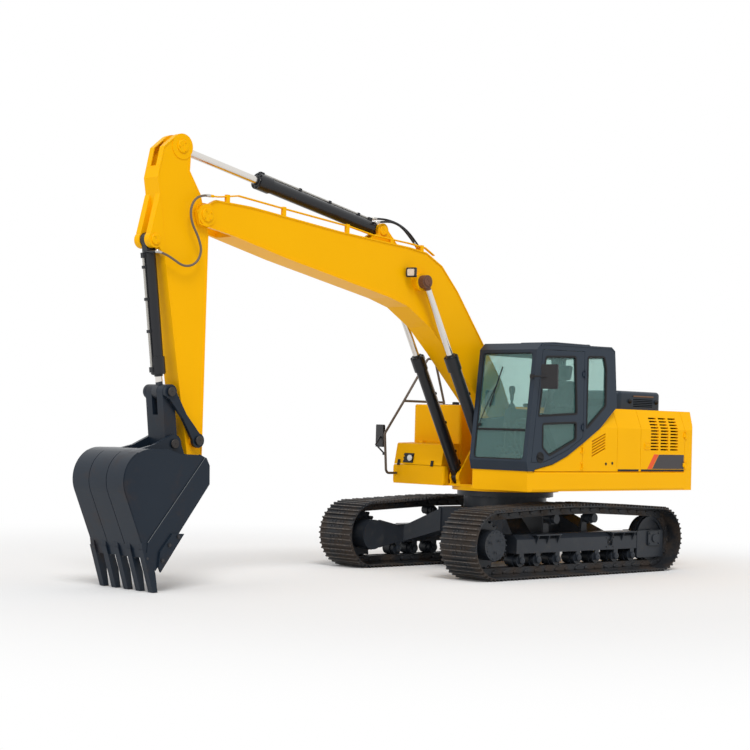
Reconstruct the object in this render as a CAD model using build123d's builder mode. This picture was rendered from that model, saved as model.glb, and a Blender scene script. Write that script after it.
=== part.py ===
"""A 21-tonne crawler excavator with a one-piece boom, parked with its bucket's teeth at the ground.

Every size is in millimetres. X points forward from the swing axis, Y to the cab's side (the machine's
left) and Z up from the ground. Each piece is drawn about the swing axis and moved along X when it is
written, so that the file's origin lies on the ground under the middle of the whole machine.
"""

import os
from math import acos, atan2, cos, hypot, pi, radians, sin, tan

from build123d import *

os.makedirs("parts", exist_ok=True)

# Fits
TURN_FIT = 0.05  # radial play of a pin or rod in its bore
FACE_PLAY = 1.0  # side play of an eye between its ears
SHUT_GAP = 6.0  # gap round a door, lid or hood
SEAT_GAP = 0.3  # rest between two pieces that are bolted together

# Tracks
TUMBLERS = 3370.0  # sprocket axle to idler axle
GAUGE = 2200.0
SHOE_WIDTH = 600.0
SHOE_COUNT = 46
SHOE_PLATE = 12.0
GROUSER = 26.0
LINK_HEIGHT = 105.0
LINK_WIDTH = 46.0
LINK_SPREAD = 142.0  # between the two rows of links, centre to centre
AXLE_Z = 440.0
CARRIER_Z = 733.0
CARRIER_RADIUS = 60.0
CARRIER_X = (334.0, -455.0)
ROLLER_RADIUS = 78.0
ROLLER_X = (1044.0, 720.0, 335.0, -90.0, -480.0, -880.0, -1236.0)
ROLLER_SHAFT = 32.0
SPROCKET_TEETH = 21
SPROCKET_TIP = 322.0
SPROCKET_ROOT = 282.0
SPROCKET_WIDTH = 68.0
DRIVE_RADIUS = 196.0

# Track frames and carbody
BEAM_WIDTH = 250.0
BEAM_TOP = 548.0
BEAM_FRONT = 1150.0
BEAM_REAR = -1350.0
YOKE_REAR = -1890.0
ADJUSTER = (-745.0, 410.0)
STEPS = ((310.0, 810.0), (-1270.0, -720.0))
STEP_OUT = 45.0
RING_RADIUS = 650.0
RING_HEIGHT = 70.0
NECK_RADIUS = 560.0

# House
DECK_Z = 1100.0  # underside of the turning frame
DECK_PLATE = 30.0
DECK_FRONT = 700.0  # front edge of the deck between the cab and the tool box
CAB_DECK_FRONT = 1130.0
TOOL_FRONT = 800.0
SKIRT_TOP = 1357.0
HOUSE_HALF = 1355.0
TAIL_RADIUS = 2750.0
WEIGHT_X = -2206.0  # front face of the counterweight
EYE_HOLE = 15.75  # radius of the threaded holes for the lifting eyes
EYE_HOLE_DEPTH = 98.0
EYE_SEAT = 24.0
EYE_SEAT_DEPTH = 8.0
EYE_HOLE_X = -2440.0
EYE_HOLE_Y = 450.0
BODY_TOP = 2190.0
BEVEL_Z = 1932.0
BEVEL_IN = 100.0
PANEL = 40.0
BULKHEAD_X = -690.0

# Boom, and the plates that carry it
BOOM_FOOT = (150.0, 1780.0)
BOOM_TIP = (5449.0, 4221.0)
BOOM_HALF = 190.0
BOOM_PLATE = 14.0
FOOT_HALF = 190.0
CHEEK = 26.0
FOOT_PIN = 45.0
FORK_HALF = 140.0  # half the space for the arm between the cheeks at the boom's tip
FORK_DEPTH = 400.0
TIP_PIN = 40.0

# Arm
ARM_HALF = 128.0
ARM_TOP = (5785.0, 4965.0)  # arm cylinder's pin
SLOT_DEPTH = 245.0  # from that pin down to the plate that closes the space between the top ears
ARM_SLOT = ARM_TOP[1] - SLOT_DEPTH
BUCKET_PIN = (5460.0, 1296.0)
LINK_PIN = (5494.0, 1656.0)  # guide links' pin on the arm
NOSE_HALF = 155.0

# Bucket and its links
LINK_TOP = (5906.0, 2196.0)
BUCKET_LINK_PIN = (5839.0, 1617.0)
BUCKET_HALF = 480.0
EAR_THICK = 48.0
GUIDE_THICK = 44.0
TEETH = 5
TOOTH_SPREAD = 894.0

# Cylinders: pins on the carrying side, and the boom cylinders' pin on the boom
BOOM_CYL_FOOT = (620.0, 1220.0)
BOOM_CYL_PIN = (1980.0, 3720.0)
BOOM_CYL_Y = 302.0
ARM_CYL_FOOT = (2550.0, 4330.0)
BUCKET_CYL_FOOT = (6131.0, 3885.0)

# Cab
CAB_IN = 400.0  # the wall beside the boom
CAB_OUT = 1370.0
CAB_WALL = 45.0

# The whole machine's ends, which set the file's origin
BUCKET_BACK = (6365.0, 1215.0)  # centre of the bucket's round back
BUCKET_BACK_RADIUS = 345.0
MIDDLE_X = (BUCKET_BACK[0] + BUCKET_BACK_RADIUS - TAIL_RADIUS) / 2


def save(piece, label):
    """Writes one finished piece, moved so that the origin is under the machine's middle."""
    placed = piece.part.moved(Location((-MIDDLE_X, 0, 0)))
    placed.label = label
    export_step(placed, f"parts/{label}.step")


def side(y):
    """The plane of a side view at y: its outlines are drawn in X and Z, and extrude towards -Y."""
    return Plane.XZ.offset(-y)


def outline(*points, mode=Mode.ADD):
    """A flat face with straight edges, inside an open sketch."""
    return Polygon(*points, align=None, mode=mode)


def reach(a, b):
    """Distance between two points of a side view."""
    return hypot(b[0] - a[0], b[1] - a[1])


def height_on(line, x):
    """Height of a broken line, given by its corners, at a place along X."""
    for (x_a, z_a), (x_b, z_b) in zip(line, line[1:]):
        if min(x_a, x_b) <= x <= max(x_a, x_b):
            return z_a + (z_b - z_a) * (x - x_a) / (x_b - x_a)


# Hinges: knuckle half length, gap to its two lugs, lug length, outer radius, pin radius, tab length
KNUCKLE = 28.0
LUG_GAP = 2.0
LUG = 20.0
HINGE_R = 10.0
HINGE_PIN = 6.0
HINGE_TAB = 40.0
HINGE_OUT = 12.0  # axis outside the face


def hinge_leaf(x, face, out, z, way):
    """A door's knuckle on an upright axis: way is +1 if the leaf lies ahead of it, out its side along Y."""
    axis_y = face + out * HINGE_OUT
    with BuildPart() as knuckle:
        with Locations((x, axis_y, z)):
            Cylinder(HINGE_R, 2 * KNUCKLE)
        with Locations((x + way * HINGE_TAB / 2, face + out * 6.5, z)):
            Box(HINGE_TAB, 11, 2 * KNUCKLE)
        with Locations((x + way * (HINGE_TAB + 10) / 2, face, z)):
            Box(HINGE_TAB - 10, 6, 2 * KNUCKLE)
        with Locations((x, axis_y, z)):
            Cylinder(HINGE_PIN + TURN_FIT, 2 * KNUCKLE + 2, mode=Mode.SUBTRACT)
    return knuckle.part


def hinge_post(x, face, out, z, way):
    """The fixed side of such a hinge: two lugs and the pin between them."""
    axis_y = face + out * HINGE_OUT
    with BuildPart() as post:
        for end in (1, -1):
            lug_z = z + end * (KNUCKLE + LUG_GAP + LUG / 2)
            with Locations((x, axis_y, lug_z)):
                Cylinder(HINGE_R, LUG)
            with Locations((x - way * HINGE_TAB / 2, face + out * 6.5, lug_z)):
                Box(HINGE_TAB, 11, LUG)
            with Locations((x - way * (HINGE_TAB + 10) / 2, face, lug_z)):
                Box(HINGE_TAB - 10, 6, LUG)
        with Locations((x, axis_y, z)):
            Cylinder(HINGE_PIN, 2 * (KNUCKLE + LUG_GAP) + 2)
    return post.part


# Upright hinges. Columns: axis along X, outer face, side along Y, way of the leaf, heights
HINGES = {
    "cab_door": (60.0, 1370.0, 1, 1, (1930.0, 2620.0)),
    "service_door": (45.0, HOUSE_HALF, 1, -1, (1430.0, 1640.0)),
    "grille_door": (-2203.0, HOUSE_HALF, 1, 1, (1450.0, 1860.0)),
    "pump_door": (-1497.0, -HOUSE_HALF, -1, 1, (1450.0, 1860.0)),
}


def add_hinges(door, maker):
    """Adds a door's knuckles, or the lugs of its fixed side, to the open piece."""
    x, face, out, way, heights = HINGES[door]
    for z in heights:
        add(maker(x, face, out, z, way))


# Lying hinges along Y. Columns: axis along X and Z, places along Y
HOOD_AXIS = (-1177.0, 2202.0)
HOOD_HINGE_Y = (750.0, -450.0)
LID_AXIS = (452.0, 1676.0)
LID_HINGE_Y = (-640.0, -1150.0)


def knuckle_y(axis, y, tab):
    """A knuckle on an axis along Y, with a tab whose side view is given."""
    with BuildPart() as knuckle:
        with BuildSketch(side(y + KNUCKLE)):
            with Locations(axis):
                Circle(HINGE_R)
            outline(*tab)
            with Locations(axis):
                Circle(HINGE_PIN + TURN_FIT, mode=Mode.SUBTRACT)
        extrude(amount=2 * KNUCKLE)
    return knuckle.part


def lugs_y(axis, y, tab):
    """The lugs and the pin on an axis along Y."""
    with BuildPart() as lugs:
        for y_high in (y + KNUCKLE + LUG_GAP + LUG, y - KNUCKLE - LUG_GAP):
            with BuildSketch(side(y_high)):
                with Locations(axis):
                    Circle(HINGE_R)
                outline(*tab)
            extrude(amount=LUG)
        with BuildSketch(side(y + KNUCKLE + LUG_GAP + 1)):
            with Locations(axis):
                Circle(HINGE_PIN)
        extrude(amount=2 * (KNUCKLE + LUG_GAP + 1))
    return lugs.part


# Tracks: a fixed loop on each side
plate_radius = AXLE_Z - GROUSER
front_axle = (TUMBLERS / 2, AXLE_Z)
rear_axle = (-TUMBLERS / 2, AXLE_Z)
carried_z = CARRIER_Z + CARRIER_RADIUS + LINK_HEIGHT + SHOE_PLATE


def leaves_circle(centre, point, radius, turn):
    """Angle on a circle at which a tangent leaves it for a point outside."""
    bearing = atan2(point[1] - centre[1], point[0] - centre[0])
    return bearing + turn * acos(radius / reach(centre, point))


def on_circle(centre, angle, radius):
    return (centre[0] + radius * cos(angle), centre[1] + radius * sin(angle))


def loop_line(inset):
    """The loop's side view, a distance inside the outer face of the shoe plates."""
    radius = plate_radius - inset
    front_high = (CARRIER_X[0], carried_z - inset)
    rear_high = (CARRIER_X[1], carried_z - inset)
    front_leave = leaves_circle(front_axle, front_high, radius, -1)
    rear_leave = leaves_circle(rear_axle, rear_high, radius, 1)
    front_top = on_circle(front_axle, front_leave, radius)
    rear_top = on_circle(rear_axle, rear_leave, radius)
    front_mid = on_circle(front_axle, (front_leave - pi / 2) / 2, radius)
    rear_mid = on_circle(rear_axle, (rear_leave + 3 * pi / 2) / 2, radius)
    with BuildLine() as line:
        Line((rear_axle[0], AXLE_Z - radius), (front_axle[0], AXLE_Z - radius))
        ThreePointArc((front_axle[0], AXLE_Z - radius), front_mid, front_top)
        Polyline(front_top, front_high, rear_high, rear_top)
        ThreePointArc(rear_top, rear_mid, (rear_axle[0], AXLE_Z - radius))
    return line.wires()[0]


# One shoe's grousers, along the chain: centre of each bar and its height, as shares of the pitch and bar
GROUSER_BARS = ((-0.36, 1.0), (-0.02, 0.8), (0.32, 1.0))
BAR_FOOT = 15.0
BAR_TIP = 7.0


def shoe_outline():
    """The loop's outer outline: plates with three bars each, worked out along the chain."""
    line = loop_line(0)
    pitch = line.length / SHOE_COUNT
    points = []
    for shoe in range(SHOE_COUNT):
        for place, height in GROUSER_BARS:
            centre = (shoe + 0.5 + place) * pitch
            for step, rise in ((-BAR_FOOT, 0), (-BAR_TIP, height), (BAR_TIP, height), (BAR_FOOT, 0)):
                share = (centre + step) / line.length % 1.0
                spot = line @ share
                along = line % share
                lift = GROUSER * rise
                points.append((spot.X + along.Y * lift, spot.Y - along.X * lift))
    return points


shoe_points = shoe_outline()
plate_back = loop_line(SHOE_PLATE)
link_top = loop_line(SHOE_PLATE / 2)
link_rail = loop_line(SHOE_PLATE + LINK_HEIGHT)
for side_name, side_y in (("left", GAUGE / 2), ("right", -GAUGE / 2)):
    with BuildPart() as track:
        with BuildSketch(side(side_y + SHOE_WIDTH / 2)):
            outline(*shoe_points)
            make_face(plate_back.edges(), mode=Mode.SUBTRACT)
        extrude(amount=SHOE_WIDTH)
        for row in (-1, 1):
            with BuildSketch(side(side_y + row * LINK_SPREAD / 2 + LINK_WIDTH / 2)):
                make_face(link_top.edges())
                make_face(link_rail.edges(), mode=Mode.SUBTRACT)
            extrude(amount=LINK_WIDTH)
    save(track, f"track_{side_name}")

# Sprockets, final drives, idlers and rollers: the left and right ones are loose solids of one node
tooth_step = 360 / SPROCKET_TEETH
with BuildPart() as sprockets:
    for y in (GAUGE / 2, -GAUGE / 2):
        with BuildSketch(side(y + SPROCKET_WIDTH / 2)):
            with Locations(front_axle):
                Circle(SPROCKET_ROOT)
                with PolarLocations(SPROCKET_ROOT + 12, SPROCKET_TEETH):
                    Trapezoid(52, 2 * (SPROCKET_TIP - SPROCKET_ROOT - 12), 75, rotation=-90)
                Circle(168, mode=Mode.SUBTRACT)
        extrude(amount=SPROCKET_WIDTH)
save(sprockets, "sprockets")

with BuildPart() as final_drives:
    for hand in (1, -1):
        centre = Location((front_axle[0], hand * GAUGE / 2, AXLE_Z), (90 * hand, 0, 0))
        with BuildSketch(Plane(centre)):
            Circle(168 - SEAT_GAP)
        extrude(amount=SPROCKET_WIDTH / 2, both=True)
        # Radius of each step of the housing, and its ends along the axle from the track's middle
        for radius, start, end in ((DRIVE_RADIUS, -262, -34), (190, 34, 240), (DRIVE_RADIUS, -300, -180)):
            with BuildSketch(Plane(centre).offset(-end)):
                Circle(radius)
            extrude(amount=end - start)
save(final_drives, "final_drives")

idler_rim = plate_radius - SHOE_PLATE - LINK_HEIGHT - SEAT_GAP
with BuildPart() as idlers:
    for y in (GAUGE / 2, -GAUGE / 2):
        for radius, half in ((idler_rim, 80), (idler_rim + 18, 40), (120, 100)):
            with BuildSketch(side(y + half)):
                with Locations(rear_axle):
                    Circle(radius)
            extrude(amount=2 * half)
        for hand in (1, -1):
            with BuildSketch(side(y + hand * 80 + 22)):
                with Locations(rear_axle):
                    Circle(idler_rim - 38)
                    Circle(120, mode=Mode.SUBTRACT)
            extrude(amount=44, mode=Mode.SUBTRACT)
save(idlers, "idlers")

roller_z = GROUSER + SHOE_PLATE + LINK_HEIGHT + ROLLER_RADIUS + SEAT_GAP
with BuildPart() as track_rollers:
    for y in (GAUGE / 2, -GAUGE / 2):
        for x in ROLLER_X:
            # Radius and half width of the tread, its middle flange and the shaft
            for radius, half in ((ROLLER_RADIUS, 100), (92, 36), (ROLLER_SHAFT, 122)):
                with BuildSketch(side(y + half)):
                    with Locations((x, roller_z)):
                        Circle(radius)
                extrude(amount=2 * half)
save(track_rollers, "track_rollers")

with BuildPart() as carrier_rollers:
    for y in (GAUGE / 2, -GAUGE / 2):
        for x in CARRIER_X:
            for radius, half in ((CARRIER_RADIUS - SEAT_GAP, 90), (CARRIER_RADIUS + 12, 30)):
                with BuildSketch(side(y + half)):
                    with Locations((x, CARRIER_Z)):
                        Circle(radius)
                extrude(amount=2 * half)
save(carrier_rollers, "carrier_rollers")

# Track frames: a box beam with the idler's yoke, roller hangers, carrier stands and steps
beam_low = roller_z + ROLLER_RADIUS + 14 + SEAT_GAP
for side_name, hand in (("left", 1), ("right", -1)):
    mid_y = hand * GAUGE / 2
    with BuildPart() as track_frame:
        with BuildSketch(Plane.YZ.offset(BEAM_REAR)):
            with BuildLine():
                Polyline(
                    (mid_y - BEAM_WIDTH / 2, beam_low),
                    (mid_y + BEAM_WIDTH / 2, beam_low),
                    (mid_y + BEAM_WIDTH / 2, BEAM_TOP - 60),
                    (mid_y + BEAM_WIDTH / 2 - 60, BEAM_TOP),
                    (mid_y - BEAM_WIDTH / 2 + 60, BEAM_TOP),
                    (mid_y - BEAM_WIDTH / 2, BEAM_TOP - 60),
                    close=True,
                )
            make_face()
        extrude(amount=BEAM_FRONT - BEAM_REAR)
        # Opening over the track adjuster's grease valve
        with BuildSketch(side(mid_y + hand * (BEAM_WIDTH / 2 - 30) + (30 if hand > 0 else 0))):
            with Locations(ADJUSTER):
                RectangleRounded(110, 90, 15)
        extrude(amount=30, mode=Mode.SUBTRACT)
        # Steps on the beam's shoulder: a lug plate on three ribs
        for x_low, x_high in STEPS:
            with Locations(((x_low + x_high) / 2, mid_y + hand * (BEAM_WIDTH / 2 + STEP_OUT / 2 - 30), BEAM_TOP - 8)):
                Box(x_high - x_low, STEP_OUT + 60, 16)
            for x in (x_low + 40, (x_low + x_high) / 2, x_high - 40):
                with BuildSketch(Plane.YZ.offset(x - 7)):
                    outline(
                        (mid_y + hand * (BEAM_WIDTH / 2 - 1), BEAM_TOP - 130),
                        (mid_y + hand * (BEAM_WIDTH / 2 + STEP_OUT), BEAM_TOP - 30),
                        (mid_y + hand * (BEAM_WIDTH / 2 + STEP_OUT), BEAM_TOP - 10),
                        (mid_y + hand * (BEAM_WIDTH / 2 - 55), BEAM_TOP - 10),
                        (mid_y + hand * (BEAM_WIDTH / 2 - 1), BEAM_TOP - 62),
                    )
                extrude(amount=14)
        # The yoke's two arms run back past the idler, joined to the beam's end
        for arm in (1, -1):
            with BuildSketch(side(mid_y + arm * 116 + 14)):
                with Locations(((BEAM_REAR + YOKE_REAR) / 2, 368)):
                    RectangleRounded(BEAM_REAR - YOKE_REAR + 40, 366, 30)
            extrude(amount=28)
        # Cheeks reach forward to the final drive
        with BuildSketch(side(mid_y - hand * 130 + 15)):
            outline(
                (BEAM_FRONT - 60, beam_low),
                (1420, 250),
                (1570, 300),
                (1570, 580),
                (1420, 620),
                (BEAM_FRONT - 60, BEAM_TOP),
            )
            with Locations(front_axle):
                Circle(DRIVE_RADIUS + SEAT_GAP, mode=Mode.SUBTRACT)
        extrude(amount=30)
        for x in ROLLER_X:
            for arm in (1, -1):
                with BuildSketch(side(mid_y + arm * 112 + 9)):
                    with Locations((x, (roller_z - 38 + beam_low) / 2)):
                        Rectangle(84, beam_low - roller_z + 38 + 2)
                    with Locations((x, roller_z)):
                        Circle(ROLLER_SHAFT + TURN_FIT, mode=Mode.SUBTRACT)
                extrude(amount=18)
        for x in CARRIER_X:
            with BuildSketch(side(mid_y - hand * (90 + 1) + (28 if hand < 0 else 0))):
                outline((x - 70, BEAM_TOP - 80), (x + 70, BEAM_TOP - 80), (x + 40, CARRIER_Z + 30), (x - 40, CARRIER_Z + 30))
            extrude(amount=28)
    save(track_frame, f"track_frame_{side_name}")

# Carbody: a centre box with four arched legs and the neck under the swing bearing
beam_inner = GAUGE / 2 - BEAM_WIDTH / 2 - SEAT_GAP
with BuildPart() as carbody:
    with BuildSketch(Plane.XY.offset(480)):
        Circle(NECK_RADIUS)
    extrude(amount=DECK_Z - 50 - RING_HEIGHT - 480 - SEAT_GAP)
    with BuildSketch(Plane.XY.offset(480)):
        Rectangle(1300, 1250)
    extrude(amount=330)
    for hand in (1, -1):
        for end in (1, -1):
            with BuildSketch(Plane.XZ.offset(-hand * 560)):
                with Locations((end * 520, 640)):
                    Rectangle(300, 300)
            with BuildSketch(Plane.XZ.offset(-hand * beam_inner)):
                with Locations((end * 760, 430)):
                    Rectangle(380, 210)
            loft()
save(carbody, "carbody")

with BuildPart() as swing_bearing:
    with BuildSketch(Plane.XY.offset(DECK_Z - 50 - RING_HEIGHT)):
        Circle(RING_RADIUS)
        Circle(RING_RADIUS - 130, mode=Mode.SUBTRACT)
    extrude(amount=RING_HEIGHT - SEAT_GAP)
save(swing_bearing, "swing_bearing")

# House frame: deck, skirts, and the pair of cheek plates that carry the boom and its cylinders
cheek_in = FOOT_HALF + FACE_PLAY
cheek_out = cheek_in + CHEEK
eye_half = 45.0
with BuildPart() as house_frame:
    with BuildSketch(Plane.XY.offset(DECK_Z - 50)):
        Circle(RING_RADIUS + 70)
    extrude(amount=50)
    with BuildSketch(Plane.XY.offset(DECK_Z)):
        outline(
            (WEIGHT_X + SEAT_GAP, -HOUSE_HALF + 10),
            (TOOL_FRONT, -HOUSE_HALF + 10),
            (TOOL_FRONT, -CAB_IN),
            (DECK_FRONT, -CAB_IN),
            (DECK_FRONT, CAB_IN),
            (CAB_DECK_FRONT, CAB_IN),
            (CAB_DECK_FRONT, HOUSE_HALF - 10),
            (WEIGHT_X + SEAT_GAP, HOUSE_HALF - 10),
        )
    extrude(amount=DECK_PLATE)
    # Skirts: their front end, and the side they are on
    for x_high, hand in ((CAB_DECK_FRONT, 1), (TOOL_FRONT, -1)):
        with BuildSketch(Plane.YZ.offset(WEIGHT_X + SEAT_GAP)):
            with Locations((hand * (HOUSE_HALF - 60), (DECK_Z + SKIRT_TOP) / 2)):
                RectangleRounded(120, SKIRT_TOP - DECK_Z, 35)
        extrude(amount=x_high - WEIGHT_X - SEAT_GAP)
    # Front beams under the cab and under the tool box
    for x_high, y_low, y_high in ((CAB_DECK_FRONT, CAB_IN, HOUSE_HALF), (TOOL_FRONT, -HOUSE_HALF, -CAB_IN)):
        with BuildSketch(Plane.XY.offset(DECK_Z)):
            with Locations((x_high - 60, (y_low + y_high) / 2)):
                RectangleRounded(120, y_high - y_low, 35)
        extrude(amount=SKIRT_TOP - DECK_Z)
    for hand in (1, -1):
        y_high = cheek_out if hand > 0 else -cheek_in
        with BuildSketch(side(y_high)):
            outline(
                (-1180, DECK_Z + 20),
                (-1180, 1350),
                (-500, 1560),
                (BOOM_FOOT[0] - 150, BOOM_FOOT[1] + 60),
                (BOOM_FOOT[0] + 150, BOOM_FOOT[1] + 60),
                (BOOM_CYL_FOOT[0] + 75, BOOM_CYL_FOOT[1] + 75),
                (BOOM_CYL_FOOT[0] + 80, DECK_Z + 20),
            )
            with Locations(BOOM_FOOT):
                Circle(165)
            with Locations(BOOM_CYL_FOOT):
                Circle(105)
        extrude(amount=CHEEK)
        # Ears of the boom cylinder: faces on both sides of its eye, inner ear first
        eye_in = BOOM_CYL_Y - eye_half - FACE_PLAY
        eye_out = BOOM_CYL_Y + eye_half + FACE_PLAY
        for near, far in ((cheek_out - 5, eye_in), (eye_out, eye_out + 26)):
            with BuildSketch(side(far if hand > 0 else -near)):
                outline((450, DECK_Z + 20), (DECK_FRONT, DECK_Z + 20), (DECK_FRONT, 1200), (540, 1250))
                with Locations(BOOM_CYL_FOOT):
                    Circle(95)
            extrude(amount=far - near)
        with BuildSketch(side(eye_out + 13 if hand > 0 else -cheek_in - 10)):
            with Locations(BOOM_CYL_FOOT):
                Circle(40)
        extrude(amount=eye_out + 3 - cheek_in)
    with BuildSketch(side(cheek_in + CHEEK / 2)):
        with Locations(BOOM_FOOT):
            Circle(FOOT_PIN)
    extrude(amount=2 * cheek_in + CHEEK)
save(house_frame, "house_frame")

# Swing drive between the cheeks, behind the boom's foot: flange, gear case and motor
SWING_DRIVE_X = -450.0
with BuildPart() as swing_drive:
    level = DECK_Z + DECK_PLATE + SEAT_GAP
    for radius, height in ((175, 40), (150, 300), (105, 190), (60, 60)):
        with BuildSketch(Plane.XY.offset(level)):
            with Locations((SWING_DRIVE_X, 0)):
                Circle(radius)
        extrude(amount=height)
        level += height
save(swing_drive, "swing_drive")

# Counterweight: a cast block, round at the tail, bevelled like the body panels
body_section = (
    (HOUSE_HALF, DECK_Z),
    (HOUSE_HALF, BEVEL_Z),
    (HOUSE_HALF - BEVEL_IN, BODY_TOP),
    (-HOUSE_HALF + BEVEL_IN, BODY_TOP),
    (-HOUSE_HALF, BEVEL_Z),
    (-HOUSE_HALF, DECK_Z),
)
with BuildPart() as counterweight:
    with BuildSketch(Plane.XY.offset(DECK_Z)):
        Circle(TAIL_RADIUS)
        with Locations((WEIGHT_X, 0)):
            Rectangle(2 * TAIL_RADIUS, 4 * HOUSE_HALF, align=(Align.MAX, Align.CENTER), mode=Mode.INTERSECT)
    extrude(amount=BODY_TOP - DECK_Z)
    with BuildSketch(Plane.YZ.offset(-TAIL_RADIUS - 10)):
        outline(*body_section)
    extrude(amount=TAIL_RADIUS + 10 + WEIGHT_X, mode=Mode.INTERSECT)
    tail_edges = counterweight.edges().filter_by(Axis.Z).sort_by(Axis.X)[:2]
    fillet(tail_edges, 60)
    # Threaded holes for the lifting eyes, with a flat seat sunk round each
    with Locations((EYE_HOLE_X, EYE_HOLE_Y, BODY_TOP), (EYE_HOLE_X, -EYE_HOLE_Y, BODY_TOP)):
        CounterBoreHole(EYE_HOLE, EYE_SEAT, EYE_SEAT_DEPTH, depth=EYE_HOLE_DEPTH)
    add_hinges("grille_door", hinge_post)
save(counterweight, "counterweight")

with BuildPart() as engine:
    with Locations((-1600, 0, DECK_Z + DECK_PLATE + 120 + SEAT_GAP)):
        Box(620, 1150, 760, align=(Align.CENTER, Align.CENTER, Align.MIN))
    with Locations(*[(x, y, DECK_Z + DECK_PLATE + SEAT_GAP) for x in (-1800, -1400) for y in (-400, 400)]):
        Cylinder(60, 130, align=(Align.CENTER, Align.CENTER, Align.MIN))
save(engine, "engine")


def body_wall(y_out, hand, thick):
    """Corners of a side wall's section in Y and Z: upright, then leaning in along the bevel."""
    inner = y_out - thick
    return [
        (hand * y_out, SKIRT_TOP + SEAT_GAP),
        (hand * y_out, BEVEL_Z),
        (hand * (y_out - BEVEL_IN), BODY_TOP),
        (hand * (y_out - BEVEL_IN - thick), BODY_TOP),
        (hand * inner, BEVEL_Z - 8),
        (hand * inner, SKIRT_TOP + SEAT_GAP),
    ]


# Body: side walls, bulkhead and the deck round the hood, one shell with its doorways left open
PANEL_C = (-686.0, -1199.0)  # the fixed panel on the left, its ends along X
GRILLE_DOOR = (-1199.0, WEIGHT_X)
PUMP_DOOR = (-760.0, -1500.0)
HOOD_X = (-1190.0, -2190.0)
HOOD_Y = (950.0, -650.0)
with BuildPart() as body_panels:
    with BuildSketch(Plane.YZ.offset(PANEL_C[1] + SHUT_GAP / 2)):
        outline(*body_wall(HOUSE_HALF, 1, PANEL))
    extrude(amount=PANEL_C[0] - PANEL_C[1] - SHUT_GAP)
    with BuildSketch(Plane.YZ.offset(WEIGHT_X + SEAT_GAP)):
        outline(*body_wall(HOUSE_HALF, -1, PANEL))
    extrude(amount=BULKHEAD_X - WEIGHT_X - SEAT_GAP)
    with Locations(((PUMP_DOOR[0] + PUMP_DOOR[1]) / 2, -HOUSE_HALF, 0)):
        Box(PUMP_DOOR[0] - PUMP_DOOR[1], 400, 2 * BODY_TOP + 100, mode=Mode.SUBTRACT)
    with BuildSketch(Plane.XY.offset(BODY_TOP - 30)):
        with Locations(((BULKHEAD_X + WEIGHT_X + SEAT_GAP) / 2, 0)):
            Rectangle(BULKHEAD_X - WEIGHT_X - SEAT_GAP, 2 * (HOUSE_HALF - BEVEL_IN - PANEL - SHUT_GAP))
        with Locations(((HOOD_X[0] + HOOD_X[1]) / 2, (HOOD_Y[0] + HOOD_Y[1]) / 2)):
            Rectangle(HOOD_X[0] - HOOD_X[1] - 80, HOOD_Y[0] - HOOD_Y[1] - 80, mode=Mode.SUBTRACT)
    extrude(amount=30)
    with BuildSketch(Plane.XY.offset(BODY_TOP - 30)):
        with Locations(((PANEL_C[0] + PANEL_C[1]) / 2, HOUSE_HALF - BEVEL_IN - PANEL)):
            Rectangle(PANEL_C[0] - PANEL_C[1] - SHUT_GAP, 60)
        for x_low, x_high in ((WEIGHT_X + SEAT_GAP, PUMP_DOOR[1]), (PUMP_DOOR[0], BULKHEAD_X)):
            with Locations(((x_low + x_high) / 2, -HOUSE_HALF + BEVEL_IN + PANEL)):
                Rectangle(x_high - x_low, 60)
    extrude(amount=30)
    with BuildSketch(Plane.YZ.offset(BULKHEAD_X - 30)):
        outline(
            (-HOUSE_HALF + BEVEL_IN + 40, BODY_TOP),
            (-HOUSE_HALF + BEVEL_IN + 40, 1400),
            (-FOOT_HALF - 120, 1400),
            (-FOOT_HALF - 120, 1650),
            (FOOT_HALF + 120, 1650),
            (FOOT_HALF + 120, 1400),
            (HOUSE_HALF - PANEL - SHUT_GAP, 1400),
            (HOUSE_HALF - PANEL - SHUT_GAP, BEVEL_Z - 60),
            (HOUSE_HALF - BEVEL_IN - PANEL - 20, BODY_TOP),
        )
    extrude(amount=30)
    add_hinges("pump_door", hinge_post)
    for y in HOOD_HINGE_Y:
        add(lugs_y(HOOD_AXIS, y, ((-1187, 2185), (-1187, 2202), (-1167, 2202), (-1167, 2185))))
save(body_panels, "body_panels")

# Grille door on the left, over the cooler: slots in three columns, hinged at the counterweight
GRILLE_X = (-1400.0, -2065.0)
GRILLE_Z = (1635.0, 2100.0)
with BuildPart() as grille_door:
    with BuildSketch(Plane.YZ.offset(GRILLE_DOOR[1] + SHUT_GAP)):
        outline(*body_wall(HOUSE_HALF, 1, PANEL))
    extrude(amount=GRILLE_DOOR[0] - GRILLE_DOOR[1] - 1.5 * SHUT_GAP)
    column_step = (GRILLE_X[0] - GRILLE_X[1]) / 3
    rows = 11
    row_step = (GRILLE_Z[1] - GRILLE_Z[0]) / rows
    slots = [
        (GRILLE_X[1] + (column + 0.5) * column_step, HOUSE_HALF - 60, GRILLE_Z[0] + (row + 0.5) * row_step)
        for column in range(3)
        for row in range(rows)
    ]
    with Locations(*slots):
        Box(column_step - 45, 400, row_step * 0.5, mode=Mode.SUBTRACT)
    add_hinges("grille_door", hinge_leaf)
save(grille_door, "grille_door")

with BuildPart() as pump_door:
    with BuildSketch(Plane.YZ.offset(PUMP_DOOR[1] + SHUT_GAP)):
        outline(*body_wall(HOUSE_HALF, -1, PANEL))
    extrude(amount=PUMP_DOOR[0] - PUMP_DOOR[1] - 2 * SHUT_GAP)
    add_hinges("pump_door", hinge_leaf)
save(pump_door, "pump_door")

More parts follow.
